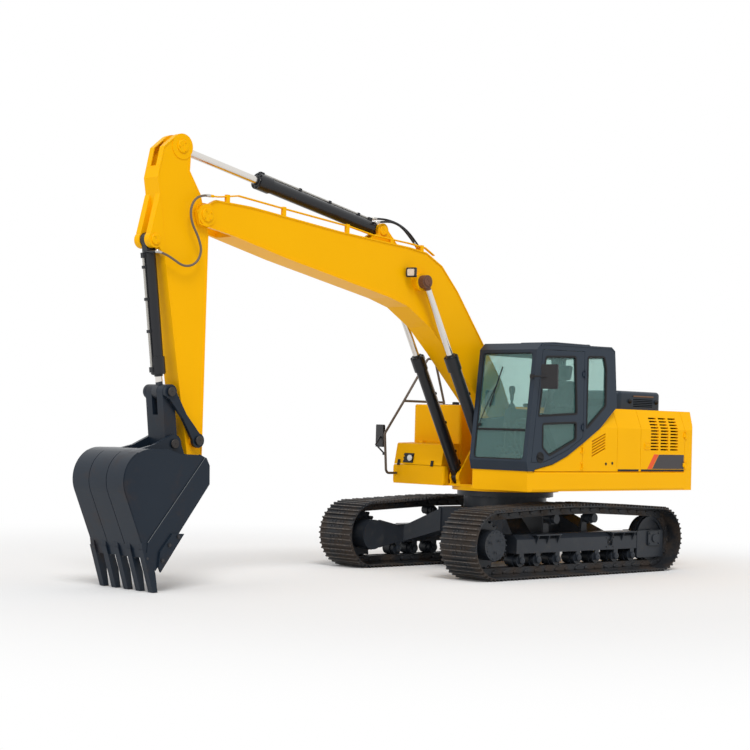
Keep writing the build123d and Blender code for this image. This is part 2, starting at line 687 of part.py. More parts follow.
# Engine hood: a low box, open below, over the hole in the deck
HOOD_TOP = 2450.0
VENT_X = -1760.0
VENT_LENGTH = 440.0
VENT_ROWS = 5
VENT_STEP = 24.0
with BuildPart() as engine_hood:
    with BuildSketch(Plane.XY.offset(BODY_TOP + SHUT_GAP)):
        with Locations(((HOOD_X[0] + HOOD_X[1]) / 2, (HOOD_Y[0] + HOOD_Y[1]) / 2)):
            RectangleRounded(HOOD_X[0] - HOOD_X[1], HOOD_Y[0] - HOOD_Y[1], 90)
    extrude(amount=HOOD_TOP - BODY_TOP - SHUT_GAP)
    fillet(engine_hood.faces().sort_by(Axis.Z)[-1].edges(), 50)
    offset(amount=-12, openings=engine_hood.faces().sort_by(Axis.Z)[0])
    with Locations(*[(VENT_X, HOOD_Y[0], 2242 + row * VENT_STEP) for row in range(VENT_ROWS)]):
        Box(VENT_LENGTH, 60, VENT_STEP / 2, mode=Mode.SUBTRACT)
    for y in HOOD_HINGE_Y:
        add(knuckle_y(HOOD_AXIS, y, ((-1195, 2198), (-1195, 2212), (-1177, 2212), (-1177, 2198))))
save(engine_hood, "engine_hood")

with BuildPart() as cooler:
    with Locations((-1740, 1080, DECK_Z + DECK_PLATE + SEAT_GAP)):
        Box(800, 120, 950, align=(Align.CENTER, Align.CENTER, Align.MIN))
save(cooler, "cooler")

# Right front: fuel tank, then the low tool box with its lid
TANK_X = (440.0, -640.0)
BOX_Y = (-450.0, -1340.0)
with BuildPart() as fuel_tank:
    with Locations(((TANK_X[0] + TANK_X[1]) / 2, (BOX_Y[0] + BOX_Y[1]) / 2, SKIRT_TOP + SEAT_GAP)):
        Box(
            TANK_X[0] - TANK_X[1],
            BOX_Y[0] - BOX_Y[1],
            BODY_TOP - SKIRT_TOP,
            align=(Align.CENTER, Align.CENTER, Align.MIN),
        )
    fillet(fuel_tank.edges().filter_by(Axis.Z), 45)
    fillet(fuel_tank.faces().sort_by(Axis.Z)[-1].edges(), 25)
    for y in LID_HINGE_Y:
        add(lugs_y(LID_AXIS, y, ((435, 1667), (435, 1686), (452, 1686), (452, 1667))))
save(fuel_tank, "fuel_tank")

with BuildPart() as tool_box:
    with BuildSketch(Plane.XY.offset(DECK_Z + DECK_PLATE + SEAT_GAP)):
        with Locations((565, (BOX_Y[0] + BOX_Y[1]) / 2)):
            Rectangle(210, 620)
    extrude(amount=SKIRT_TOP - DECK_Z - DECK_PLATE)
    offset(amount=-15, openings=tool_box.faces().sort_by(Axis.Z)[-1])
save(tool_box, "tool_box")

lid_low = SKIRT_TOP + SHUT_GAP
with BuildPart() as tool_box_lid:
    with BuildSketch(side(BOX_Y[0])):
        outline(
            (TANK_X[0] + SHUT_GAP, lid_low),
            (TOOL_FRONT, lid_low),
            (TOOL_FRONT - 55, 1640),
            (TOOL_FRONT - 75, 1652),
            (TANK_X[0] + SHUT_GAP, 1664),
        )
    extrude(amount=BOX_Y[0] - BOX_Y[1])
    offset(amount=-14, openings=tool_box_lid.faces().sort_by(Axis.Z)[0])
    for y in LID_HINGE_Y:
        add(knuckle_y(LID_AXIS, y, ((452, 1656), (452, 1686), (470, 1686), (482, 1656))))
save(tool_box_lid, "tool_box_lid")

# Lamp in the lid's front: a back plate, three bars and the round lens, on the sloping face
LAMP_Y = (-985.0, -1160.0)


def lid_front(z):
    """The lid's sloping front face at a height."""
    return TOOL_FRONT - 55 * (z - lid_low) / (1640 - lid_low) + SEAT_GAP


with BuildPart() as lid_lamp:
    for z_low, z_high, thick in ((1385, 1515, 6), (1392, 1416, 22), (1438, 1462, 22), (1484, 1508, 22)):
        with BuildSketch(side(LAMP_Y[0])):
            outline(
                (lid_front(z_low), z_low),
                (lid_front(z_low) + thick, z_low),
                (lid_front(z_high) + thick, z_high),
                (lid_front(z_high), z_high),
            )
        extrude(amount=LAMP_Y[0] - LAMP_Y[1])
    with BuildSketch(Plane.YZ.offset(lid_front(1450) + 10)):
        with Locations((LAMP_Y[0] - 50, 1450)):
            Circle(42)
    extrude(amount=20)
save(lid_lamp, "lid_lamp")

# Cab: side profile of its frame, front to back round its top, then along the curved lower edge
cab_profile = (
    (1140, SKIRT_TOP + SEAT_GAP),
    (1172, 1480),
    (1020, 2900),
    (930, 2985),
    (-500, 3000),
    (-575, 2950),
    (-640, 2200),
    (-590, 2170),
    (-297, 1926),
    (36, 1734),
    (362, 1560),
    (644, 1454),
    (1003, 1385),
    (1025, SKIRT_TOP + SEAT_GAP),
)
CAB_FLOOR = ((1098, 1430), (900, 1430), (660, 1506), (380, 1612), (60, 1783), (-270, 1975), (-583, 2225))
cab_inner = CAB_FLOOR + (
    (-525, 2915),
    (-480, 2948),
    (900, 2935),
    (972, 2860),
    (1115, 1490),
)
DOOR_EDGE = (
    (1085, 1470),
    (905, 2905),
    (60, 2918),
    (60, 1795),
    (380, 1625),
    (680, 1520),
    (850, 1470),
)
REAR_LIGHT = ((-10, 2850), (-350, 2862), (-397, 2709), (-400, 2220), (-10, 1915))
RIGHT_LIGHT = ((1040, 2000), (960, 2850), (-440, 2850), (-490, 2260), (-300, 2100), (900, 2000))
SCREEN = (CAB_OUT - CAB_IN - 130, 1360.0)  # width and height of the windscreen's opening
REAR_WINDOW = (CAB_OUT - CAB_IN - 180, 540.0)
CAB_MID = (CAB_IN + CAB_OUT) / 2
with BuildPart() as cab_frame:
    with BuildSketch(side(CAB_OUT)):
        outline(*cab_profile)
    extrude(amount=CAB_OUT - CAB_IN)
    with BuildSketch(side(CAB_OUT - CAB_WALL)):
        outline(*cab_inner)
    extrude(amount=CAB_OUT - CAB_IN - 2 * CAB_WALL, mode=Mode.SUBTRACT)
    with BuildSketch(side(CAB_OUT + 10)):
        outline(*DOOR_EDGE)
        outline(*REAR_LIGHT)
    extrude(amount=CAB_WALL + 20, mode=Mode.SUBTRACT)
    with BuildSketch(side(CAB_IN + CAB_WALL + 10)):
        outline(*RIGHT_LIGHT)
    extrude(amount=CAB_WALL + 20, mode=Mode.SUBTRACT)
    # Windscreen and rear window, cut straight through along X
    for x_low, length, (width, height), mid_z in ((700, 600, SCREEN, 2180), (-700, 300, REAR_WINDOW, 2590)):
        with BuildSketch(Plane.YZ.offset(x_low)):
            with Locations((CAB_MID, mid_z)):
                RectangleRounded(width, height, 50)
        extrude(amount=length, mode=Mode.SUBTRACT)
    add_hinges("cab_door", hinge_post)
save(cab_frame, "cab_frame")

# Door leaf, set in the wall with an even gap, with two lights
DOOR_LIGHTS = (
    ((838, 2813), (246, 2840), (197, 2102), (960, 2058)),
    ((872, 1960), (205, 1990), (205, 1770), (730, 1560), (868, 1660)),
)
with BuildPart() as cab_door:
    with BuildSketch(side(CAB_OUT)):
        outline(*DOOR_EDGE)
        offset(amount=-SHUT_GAP, kind=Kind.INTERSECTION, mode=Mode.REPLACE)
    extrude(amount=CAB_WALL - 5)
    with BuildSketch(side(CAB_OUT + 5)):
        for light in DOOR_LIGHTS:
            outline(*light)
    extrude(amount=CAB_WALL + 10, mode=Mode.SUBTRACT)
    add_hinges("cab_door", hinge_leaf)
save(cab_door, "cab_door")

# Glass of the cab: windscreen, left rear, right and rear lights, and the two lights of the door
GLASS = 6.0
with BuildPart() as cab_glass:
    with BuildSketch(Plane.YZ.offset(900)):
        with Locations((CAB_MID, 2180)):
            RectangleRounded(SCREEN[0] - 2 * SEAT_GAP, SCREEN[1] - 2 * SEAT_GAP, 50 - SEAT_GAP)
    extrude(amount=300)
    with BuildSketch(side(CAB_OUT)):
        outline((1155, 1480), (1002, 2910), (1002 - GLASS, 2910), (1155 - GLASS, 1480))
    extrude(amount=CAB_OUT - CAB_IN, mode=Mode.INTERSECT)
    for y, light in ((CAB_OUT - 15, REAR_LIGHT), (CAB_IN + 20, RIGHT_LIGHT)):
        with BuildSketch(side(y)):
            outline(*light)
            offset(amount=-SEAT_GAP, kind=Kind.INTERSECTION, mode=Mode.REPLACE)
        extrude(amount=GLASS)
    with BuildSketch(Plane.YZ.offset(-570)):
        with Locations((CAB_MID, 2590)):
            RectangleRounded(REAR_WINDOW[0] - 2 * SEAT_GAP, REAR_WINDOW[1] - 2 * SEAT_GAP, 50 - SEAT_GAP)
    extrude(amount=GLASS)
save(cab_glass, "cab_glass")

with BuildPart() as door_glass:
    for light in DOOR_LIGHTS:
        with BuildSketch(side(CAB_OUT - 17)):
            outline(*light)
            offset(amount=-SEAT_GAP, kind=Kind.INTERSECTION, mode=Mode.REPLACE)
        extrude(amount=GLASS)
save(door_glass, "door_glass")


def floor_at(x):
    """Where a piece stands on the cab's stepped floor."""
    return height_on(CAB_FLOOR, x) + SEAT_GAP


# Seat, and the two consoles and the pedal stand with their levers, on the cab's stepped floor
with BuildPart() as seat:
    with BuildSketch(side(CAB_MID + 250)):
        outline((640, 1900), (640, 2000), (600, 2020), (120, 1985), (-30, 2560), (-150, 2540), (20, 1900))
    extrude(amount=500)
    with BuildSketch(side(CAB_MID + 130)):
        outline((-45, 2550), (-100, 2740), (-180, 2740), (-150, 2530))
    extrude(amount=260)
    with BuildSketch(side(CAB_MID + 180)):
        outline((560, 1910), (560, floor_at(560)), (380, floor_at(380)), (120, floor_at(120)), (60, 1910))
    extrude(amount=360)
save(seat, "seat")

with BuildPart() as consoles:
    for hand in (1, -1):
        mid = CAB_MID + hand * 335
        with BuildSketch(side(mid + 60)):
            outline(
                (640, 1900),
                (600, 2150),
                (140, 2140),
                (100, floor_at(100)),
                (380, floor_at(380)),
                (420, floor_at(420)),
            )
        extrude(amount=120)
        with BuildSketch(Plane.XY.offset(2120)):
            with Locations((540, mid)):
                Circle(14)
        extrude(amount=240)
        with Locations((540, mid, 2380)):
            Sphere(38)
    with BuildSketch(side(CAB_MID + 150)):
        outline((1000, floor_at(1000)), (980, 1560), (910, 1560), (900, floor_at(900)))
    extrude(amount=300)
    for hand in (1, -1):
        with BuildSketch(Plane.XY.offset(1540)):
            with Locations((945, CAB_MID + hand * 90)):
                Circle(12)
        extrude(amount=340)
save(consoles, "consoles")

# Panels under and behind the cab on the left: a fixed one in front and the louvred service door.
# Both end a gap below the cab's curved lower edge.
PANEL_FRONT = 990.0
PANEL_SEAM = 45.0
LOUVRES = 6
under_cab = ((1200, 1385 - 12), (1003, 1385), (644, 1454), (362, 1560), (36, 1734), (-297, 1926), (-590, 2170))


def wall_under_cab(x_front, x_rear):
    """A length of the left wall, cut off a gap below the cab."""
    with BuildPart() as wall:
        with BuildSketch(Plane.YZ.offset(x_rear)):
            outline(*body_wall(HOUSE_HALF, 1, PANEL))
        extrude(amount=x_front - x_rear)
        with BuildSketch(side(CAB_OUT + 20)):
            outline(*[(x, z - SHUT_GAP - 6) for x, z in under_cab], (-655, 2190), (-655, 2600), (1200, 2600))
        extrude(amount=400, mode=Mode.SUBTRACT)
    return wall.part


with BuildPart() as side_panel:
    add(wall_under_cab(PANEL_FRONT, PANEL_SEAM + SHUT_GAP / 2))
    add_hinges("service_door", hinge_post)
save(side_panel, "side_panel")

with BuildPart() as service_door:
    add(wall_under_cab(PANEL_SEAM - SHUT_GAP / 2, PANEL_C[0] + SHUT_GAP / 2))
    with BuildSketch(side(HOUSE_HALF + 10)):
        for slot in range(LOUVRES):
            low = 1545 + slot * 38
            outline((-146, low), (-146, low + 20), (-430, low + 128), (-430, low + 108))
    extrude(amount=PANEL + 20, mode=Mode.SUBTRACT)
    add_hinges("service_door", hinge_leaf)
save(service_door, "service_door")

# Boom: a box of two web plates inside a rim of flange plates, bossed at its three pins
BOOM_EDGE = (
    (-20, 1815),
    (330, 2500),
    (1246, 3650),
    (1552, 3960),
    (1850, 4110),
    (2150, 4150),
    (3370, 4235),
    (4803, 4385),
    (5330, 4405),
    (5600, 4250),
    (5560, 4105),
    (5139, 4035),
    (4227, 3828),
    (2500, 3490),
    (2162, 3395),
    (1760, 3160),
    (1410, 2850),
    (783, 2250),
    (300, 1700),
)
boom_web_half = BOOM_HALF - 12
with BuildPart() as boom:
    with BuildSketch(side(BOOM_HALF)):
        outline(*BOOM_EDGE)
        offset(amount=-BOOM_PLATE, kind=Kind.INTERSECTION, mode=Mode.SUBTRACT)
    extrude(amount=2 * BOOM_HALF)
    for y_high in (boom_web_half, -boom_web_half + BOOM_PLATE):
        with BuildSketch(side(y_high)):
            outline(*BOOM_EDGE)
        extrude(amount=BOOM_PLATE)
    # Bosses: where, radius, half width
    for centre, radius, half in (
        (BOOM_FOOT, 165, FOOT_HALF),
        (BOOM_TIP, 125, BOOM_HALF),
        (BOOM_CYL_PIN, 110, BOOM_CYL_Y - eye_half - FACE_PLAY),
    ):
        with BuildSketch(side(half)):
            with Locations(centre):
                Circle(radius)
        extrude(amount=2 * half)
    # Space for the arm between the cheeks at the tip, closed by the nose plate
    slot_x = BOOM_TIP[0] - FORK_DEPTH
    with BuildSketch(side(FORK_HALF)):
        outline((slot_x, 3800), (5800, 3800), (5800, 4600), (slot_x, 4600))
    extrude(amount=2 * FORK_HALF, mode=Mode.SUBTRACT)
    with BuildSketch(side(boom_web_half)):
        outline((slot_x - 20, 4030), (slot_x, 4030), (slot_x, 4385), (slot_x - 20, 4385))
    extrude(amount=2 * boom_web_half)
    with BuildSketch(side(BOOM_HALF)):
        with Locations(BOOM_TIP):
            Circle(TIP_PIN)
    extrude(amount=2 * BOOM_HALF)
    with BuildSketch(side(FOOT_HALF)):
        with Locations(BOOM_FOOT):
            Circle(FOOT_PIN + TURN_FIT)
    extrude(amount=2 * FOOT_HALF, mode=Mode.SUBTRACT)
save(boom, "boom")
boom_top = BOOM_EDGE[3:9]

# Ears of the arm cylinder, on the boom's top plate, with the pin between them
with BuildPart() as arm_cylinder_ears:
    for y_high in (98, -49):
        with BuildSketch(side(y_high)):
            outline(
                (2280, height_on(boom_top, 2280) + SEAT_GAP),
                (2460, 4335),
                (2625, 4290),
                (2790, height_on(boom_top, 2790) + SEAT_GAP),
            )
            with Locations(ARM_CYL_FOOT):
                Circle(90)
        extrude(amount=49)
    with BuildSketch(side(60)):
        with Locations(ARM_CYL_FOOT):
            Circle(40)
    extrude(amount=120)
save(arm_cylinder_ears, "arm_cylinder_ears")

# Two steel pipes for the bucket's oil along the boom's top, on posts, and the posts at which the arm
# cylinder's two hoses end. The outer pipe turns out at its front end, to the hose beside the arm.
PIPE = 9.0
PIPE_Y = (158.0, 180.0)
PIPE_LINE = (
    (1700, 4085),
    (1870, 4170),
    (2160, 4200),
    (2800, 4243),
    (3200, 4310),
    (4340, 4422),
    (4985, 4490),
    (5230, 4452),
)
PIPE_POSTS = (1930, 2480, 3245, 4285, 5150)
POST = 50.0
NOSE_HOSE_Y = 216.0
NOSE_HOSE_START = (5440.0, 4437.0)


def post_on_boom(x, z_top, y_high, y_low):
    """A post standing on the boom's top plate."""
    with BuildPart() as post:
        with BuildSketch(side(y_high)):
            outline(
                (x - POST / 2, height_on(boom_top, x - POST / 2) + SEAT_GAP),
                (x + POST / 2, height_on(boom_top, x + POST / 2) + SEAT_GAP),
                (x + POST / 2, z_top),
                (x - POST / 2, z_top),
            )
        extrude(amount=y_high - y_low)
    return post.part


def tube(points, radii, radius):
    """A round tube along straight runs joined by arcs, one radius for each corner."""
    with BuildPart() as piece:
        with BuildLine():
            FilletPolyline(*points, radius=radii)
        run = Vector(*points[1]) - Vector(*points[0])
        with BuildSketch(Plane(origin=points[0], z_dir=run)):
            Circle(radius)
        sweep()
    return piece.part


# The arm cylinder's hoses. Columns: name, place along Y, then the corners from the barrel to the boom
HOSE = 13.5
ARM_HOSES = (
    ("arm_hose_side", 125.0, ((2702, 4414), (2560, 4440), (2400, 4446), (2250, 4400), (2115, 4300), (1990, 4189))),
    (
        "arm_hose_middle",
        30.0,
        ((2664, 4471), (2525, 4484), (2360, 4476), (2195, 4440), (2045, 4370), (1915, 4268), (1795, 4155)),
    ),
)
HOSE_END = 60.0  # length of the fitting between a hose and its post
with BuildPart() as boom_pipes:
    for y in PIPE_Y:
        route = [(x, y, z) for x, z in PIPE_LINE]
        if y == PIPE_Y[1]:
            end_x, end_z = NOSE_HOSE_START
            route += [(5330, NOSE_HOSE_Y, end_z), (end_x - SEAT_GAP, NOSE_HOSE_Y, end_z)]
        else:
            route += [(5400, y, 4440)]
        add(tube(route, [50] * (len(route) - 2), PIPE))
    # Nut at the nose hose's start
    with BuildSketch(Plane.YZ.offset(NOSE_HOSE_START[0] - SEAT_GAP)):
        with Locations((NOSE_HOSE_Y, NOSE_HOSE_START[1])):
            Circle(16)
    extrude(amount=-45)
    for x in PIPE_POSTS:
        add(post_on_boom(x, height_on(PIPE_LINE, x) + 20, PIPE_Y[1] + 9, PIPE_Y[0] - 9))
    for name, y, corners in ARM_HOSES:
        (x_a, z_a), (x_b, z_b) = corners[-2:]
        run = Vector(x_b - x_a, 0, z_b - z_a).normalized()
        start = Vector(x_b, y, z_b) + run * SEAT_GAP
        with BuildSketch(Plane(origin=start, z_dir=run)):
            Circle(17)
        extrude(amount=HOSE_END)
        add(post_on_boom(x_b + run.X * HOSE_END, z_b + run.Z * (HOSE_END - 10), y + 20, y - 20))
save(boom_pipes, "boom_pipes")


def hose_radii(points):
    """Each arc as large as its two runs allow: 0.45 of the shorter run, by the tangent of half the turn."""
    radii = []
    for before, corner, after in zip(points, points[1:], points[2:]):
        run_in = Vector(*corner) - Vector(*before)
        run_out = Vector(*after) - Vector(*corner)
        half_turn = radians(run_in.get_angle(run_out)) / 2
        radii.append(0.45 * min(run_in.length, run_out.length) / tan(half_turn))
    return radii


# Hoses: the arm cylinder's two, and the one beside the arm from the boom's nose to the bucket cylinder
NOSE_HOSE = (
    NOSE_HOSE_START,
    (5605, 4437),
    (5722, 4285),
    (5700, 4110),
    (5590, 3950),
    (5535, 3790),
    (5620, 3640),
    (5790, 3600),
    (5950, 3680),
    (6075, 3728),
    (6165, 3742),
)
for name, y, corners in (*ARM_HOSES, ("nose_hose", NOSE_HOSE_Y, NOSE_HOSE)):
    points = [(x, y, z) for x, z in corners]
    radii = hose_radii(points)
    hose = Part() + tube(points, radii, HOSE)
    with BuildPart() as cord:
        add(hose)
    save(cord, name)
    runs = [(Vector(*b) - Vector(*a)).length for a, b in zip(points, points[1:])]
    print(name, "radii", [round(r) for r in radii], "runs", [round(r) for r in runs])
    print(name, "length", round(cord.part.volume / (pi * HOSE**2)), "of corners", round(sum(runs)))

# Work lamp on the boom's left side, turned outwards on its bracket
LAMP = (60.0, 125.0, 120.0)
with BuildPart() as boom_lamp:
    with Locations(Location((2190, BOOM_HALF + 72, 3825), (0, 0, 25))):
        Box(*LAMP)
    fillet(boom_lamp.edges().filter_by(Axis.Z), 12)
    with Locations((2170, BOOM_HALF - 12 + SEAT_GAP, 3825)):
        Box(40, 50, 50, align=(Align.CENTER, Align.MIN, Align.CENTER))
save(boom_lamp, "boom_lamp")

# Arm: box section from its top ears to its nose, with the ears of the bucket cylinder in front
ARM_EDGE = (
    (5660, 5000),
    (5690, 5080),
    (5880, 5080),
    (6050, 4935),
    (6125, 4585),
    (6050, 4155),
    (5986, 3676),
    (5560, 1296),
    (5378, 1330),
    (5378, 4001),
    (5506, 4447),
    (5672, 4700),
)
arm_web_half = ARM_HALF - 8
with BuildPart() as arm:
    with BuildSketch(side(ARM_HALF)):
        outline(*ARM_EDGE)
        offset(amount=-12, kind=Kind.INTERSECTION, mode=Mode.SUBTRACT)
    extrude(amount=2 * ARM_HALF)
    for y_high in (arm_web_half, -arm_web_half + 12):
        with BuildSketch(side(y_high)):
            outline(*ARM_EDGE)
        extrude(amount=12)
    for centre, radius, half in (
        (BOOM_TIP, 130, FORK_HALF - FACE_PLAY),
        (BUCKET_PIN, 105, NOSE_HALF),
        (LINK_PIN, 80, NOSE_HALF + 4),
        (ARM_TOP, 145, ARM_HALF),
    ):
        with BuildSketch(side(half)):
            with Locations(centre):
                Circle(radius)
        extrude(amount=2 * half)
    # Room for the arm cylinder's eye between the top ears, with a plate under it
    with BuildSketch(side(eye_half + 5)):
        outline((5400, ARM_SLOT), (6300, ARM_SLOT), (6300, 5300), (5400, 5300))
    extrude(amount=2 * eye_half + 10, mode=Mode.SUBTRACT)
    with BuildSketch(side(arm_web_half)):
        outline((5672, ARM_SLOT - 20), (5678, ARM_SLOT), (6098, ARM_SLOT), (6102, ARM_SLOT - 20))
    extrude(amount=2 * arm_web_half)
    with BuildSketch(side(400)):
        with Locations(BOOM_TIP):
            Circle(TIP_PIN + TURN_FIT)
    extrude(amount=800, mode=Mode.SUBTRACT)
    # Pins that stay with the arm: at the bucket and at the guide links
    pin_end = NOSE_HALF + EAR_THICK + 14
    for centre, radius, half in ((BUCKET_PIN, 40, pin_end), (LINK_PIN, 35, pin_end)):
        with BuildSketch(side(half)):
            with Locations(centre):
                Circle(radius)
        extrude(amount=2 * half)
save(arm, "arm")


def arm_front(z):
    """A place on the arm's front plate at a height, for what is seated there."""
    front = [(height, x) for x, height in ARM_EDGE[4:7]]
    return height_on(front, z) + SEAT_GAP


# Ears of the bucket cylinder, on the arm's front plate, with the pin between them
with BuildPart() as bucket_cylinder_ears:
    for y_high in (137, -49):
        with BuildSketch(side(y_high)):
            outline(
                (arm_front(4400), 4400),
                (6200, 3960),
                (6190, 3830),
                (6080, 3800),
                (arm_front(3705), 3705),
                (arm_front(ARM_EDGE[5][1]), ARM_EDGE[5][1]),
            )
            with Locations(BUCKET_CYL_FOOT):
                Circle(95)
        extrude(amount=88)
    with BuildSketch(side(60)):
        with Locations(BUCKET_CYL_FOOT):
            Circle(35)
    extrude(amount=120)
save(bucket_cylinder_ears, "bucket_cylinder_ears")

# Bucket: rolled back plate, two side plates, lip with teeth, and the ears of its two pins
back_start = (5690.0, 1500.0)
back_end = (6430.0, 500.0)
BUCKET_PLATE = 20.0
TOOTH_ROOT = ((6445, 470), (6330, 400))
TOOTH_TIP = ((6290, 4), (6226, 4))
SIDE_EDGE = ((6262, 240), (5545, 1176), (5552, 1385), (5600, 1470), (5690, 1508))
BACK_STEP = ((5965, 1512), (6130, BUCKET_BACK[1] + BUCKET_BACK_RADIUS))  # rise behind the ears
EDGE_BAND = ((5618, 1474), (6379, 543))  # where the thicker front band of a side plate ends
BAND = 10.0
CUTTER = ((5900, 634), (6060, 640), (6225, 445), (6240, 285), (6210, 222))
CUTTER_THICK = 24.0
LIP_FRONT = (6392.0, 380.0)
back_top = (BUCKET_BACK[0], BUCKET_BACK[1] + BUCKET_BACK_RADIUS)
back_mid = on_circle(BUCKET_BACK, radians(33), BUCKET_BACK_RADIUS)
back_low = on_circle(BUCKET_BACK, radians(-24), BUCKET_BACK_RADIUS)
with BuildPart() as bucket:
    with BuildSketch(side(BUCKET_HALF)) as bucket_side:
        with BuildLine():
            Polyline(back_start, *BACK_STEP, back_top)
            ThreePointArc(back_top, back_mid, back_low)
            Polyline(back_low, back_end, LIP_FRONT, *SIDE_EDGE, back_start)
        make_face()
    extrude(amount=BUCKET_PLATE)
    with BuildSketch(side(-BUCKET_HALF + BUCKET_PLATE)):
        add(bucket_side.sketch_local)
    extrude(amount=BUCKET_PLATE)
    inner_radius = BUCKET_BACK_RADIUS - BUCKET_PLATE
    inner_top = (back_top[0], back_top[1] - BUCKET_PLATE)
    inner_mid = on_circle(BUCKET_BACK, radians(33), inner_radius)
    inner_low = on_circle(BUCKET_BACK, radians(-24), inner_radius)
    with BuildSketch(side(BUCKET_HALF - BUCKET_PLATE)):
        with BuildLine():
            Polyline(back_start, *BACK_STEP, back_top)
            ThreePointArc(back_top, back_mid, back_low)
            Polyline(back_low, back_end, LIP_FRONT, (6355, 395), (6398, 505), inner_low)
            ThreePointArc(inner_low, inner_mid, inner_top)
            inner_step = [(x, z - BUCKET_PLATE) for x, z in (BACK_STEP[1], BACK_STEP[0], back_start)]
            Polyline(inner_top, *inner_step, back_start)
        make_face()
    extrude(amount=2 * (BUCKET_HALF - BUCKET_PLATE))
    # Front bands and side cutters, outside the side plates
    for hand in (1, -1):
        for shape, near, thick in (
            ((*EDGE_BAND, LIP_FRONT, *SIDE_EDGE[:4]), BUCKET_HALF, BAND),
            (CUTTER, BUCKET_HALF + BAND, CUTTER_THICK),
        ):
            with BuildSketch(side(near + thick if hand > 0 else -near)):
                outline(*shape)
            extrude(amount=thick)
    for hand in (1, -1):
        ear_in = NOSE_HALF + FACE_PLAY
        with BuildSketch(side(ear_in + EAR_THICK if hand > 0 else -ear_in)):
            outline(
                (5690, 1495),
                (5400, 1380),
                (5400, 1230),
                (5560, 1220),
                (5700, 1495),
                (6330, 1550),
                (6120, 1600),
                (5900, 1700),
                (5760, 1660),
            )
            with Locations(BUCKET_PIN):
                Circle(105)
            with Locations(BUCKET_LINK_PIN):
                Circle(100)
        extrude(amount=EAR_THICK)
    tooth_pitch = TOOTH_SPREAD / (TEETH - 1)
    for tooth in range(TEETH):
        y = -TOOTH_SPREAD / 2 + tooth * tooth_pitch
        with BuildSketch(side(y + 42)):
            outline(TOOTH_ROOT[0], (6352, 190), TOOTH_TIP[0], TOOTH_TIP[1], (6262, 210), TOOTH_ROOT[1])
        extrude(amount=84)
    with BuildSketch(side(400)):
        with Locations(BUCKET_PIN):
            Circle(40 + TURN_FIT)
    extrude(amount=800, mode=Mode.SUBTRACT)
    with BuildSketch(side(pin_end)):
        with Locations(BUCKET_LINK_PIN):
            Circle(35)
    extrude(amount=2 * pin_end)
save(bucket, "bucket")

# Guide links beside the arm, and the bucket link between them and the bucket
guide_in = NOSE_HALF + 4 + FACE_PLAY
link_waist = ((LINK_PIN[0] + LINK_TOP[0]) / 2, (LINK_PIN[1] + LINK_TOP[1]) / 2)
with BuildPart() as guide_links:
    for hand in (1, -1):
        y_high = guide_in + GUIDE_THICK if hand > 0 else -guide_in
        with BuildSketch(side(y_high)):
            with Locations(LINK_PIN, LINK_TOP):
                Circle(82)
            for pin in (LINK_PIN, LINK_TOP):
                with BuildSketch(side(y_high), mode=Mode.PRIVATE) as half_link:
                    with Locations(pin):
                        Circle(66)
                    with Locations(link_waist):
                        Circle(34)
                    make_hull()
                add(half_link.sketch_local)
        extrude(amount=GUIDE_THICK)
        with BuildSketch(side(y_high)):
            with Locations(LINK_PIN):
                Circle(35 + TURN_FIT)
        extrude(amount=GUIDE_THICK, mode=Mode.SUBTRACT)
        with BuildSketch(side(pin_end if hand > 0 else -pin_end + 15)):
            with Locations(LINK_TOP):
                Circle(35)
        extrude(amount=15)
save(guide_links, "guide_links")

with BuildPart() as bucket_link:
    with BuildSketch(side(NOSE_HALF)):
        with Locations(LINK_TOP, BUCKET_LINK_PIN):
            Circle(82)
        make_hull()
    extrude(amount=2 * NOSE_HALF)
    with BuildSketch(side(47)):
        with Locations(LINK_TOP):
            Rectangle(500, 520)
    extrude(amount=94, mode=Mode.SUBTRACT)
    with BuildSketch(side(400)):
        with Locations(BUCKET_LINK_PIN):
            Circle(35 + TURN_FIT)
    extrude(amount=800, mode=Mode.SUBTRACT)
save(bucket_link, "bucket_link")

# Cylinders. Columns: name, pin on the carrier, pin at the rod's eye, middles along Y, radii of barrel,
# head, rod and the carrier's pin, along the axis from that pin: start of the barrel, end of the head and
# start of the rod, and the side of the barrel's oil pipe, +1 or -1 across the axis in the side view
CYLINDERS = (
    ("boom_cylinder", BOOM_CYL_FOOT, BOOM_CYL_PIN, (BOOM_CYL_Y, -BOOM_CYL_Y), 75, 92, 42.5, 40, 125, 1790, 920, 1),
    ("arm_cylinder", ARM_CYL_FOOT, ARM_TOP, (0,), 84, 100, 47.5, 40, 130, 2060, 1200, 1),
    ("bucket_cylinder", BUCKET_CYL_FOOT, LINK_TOP, (0,), 70, 84, 40, 35, 120, 1500, 220, 1),
)
OIL_PIPE = 13.0
CLAMPS = (0.12, 0.38, 0.64)  # places of the pipe's clamps, as shares of the barrel
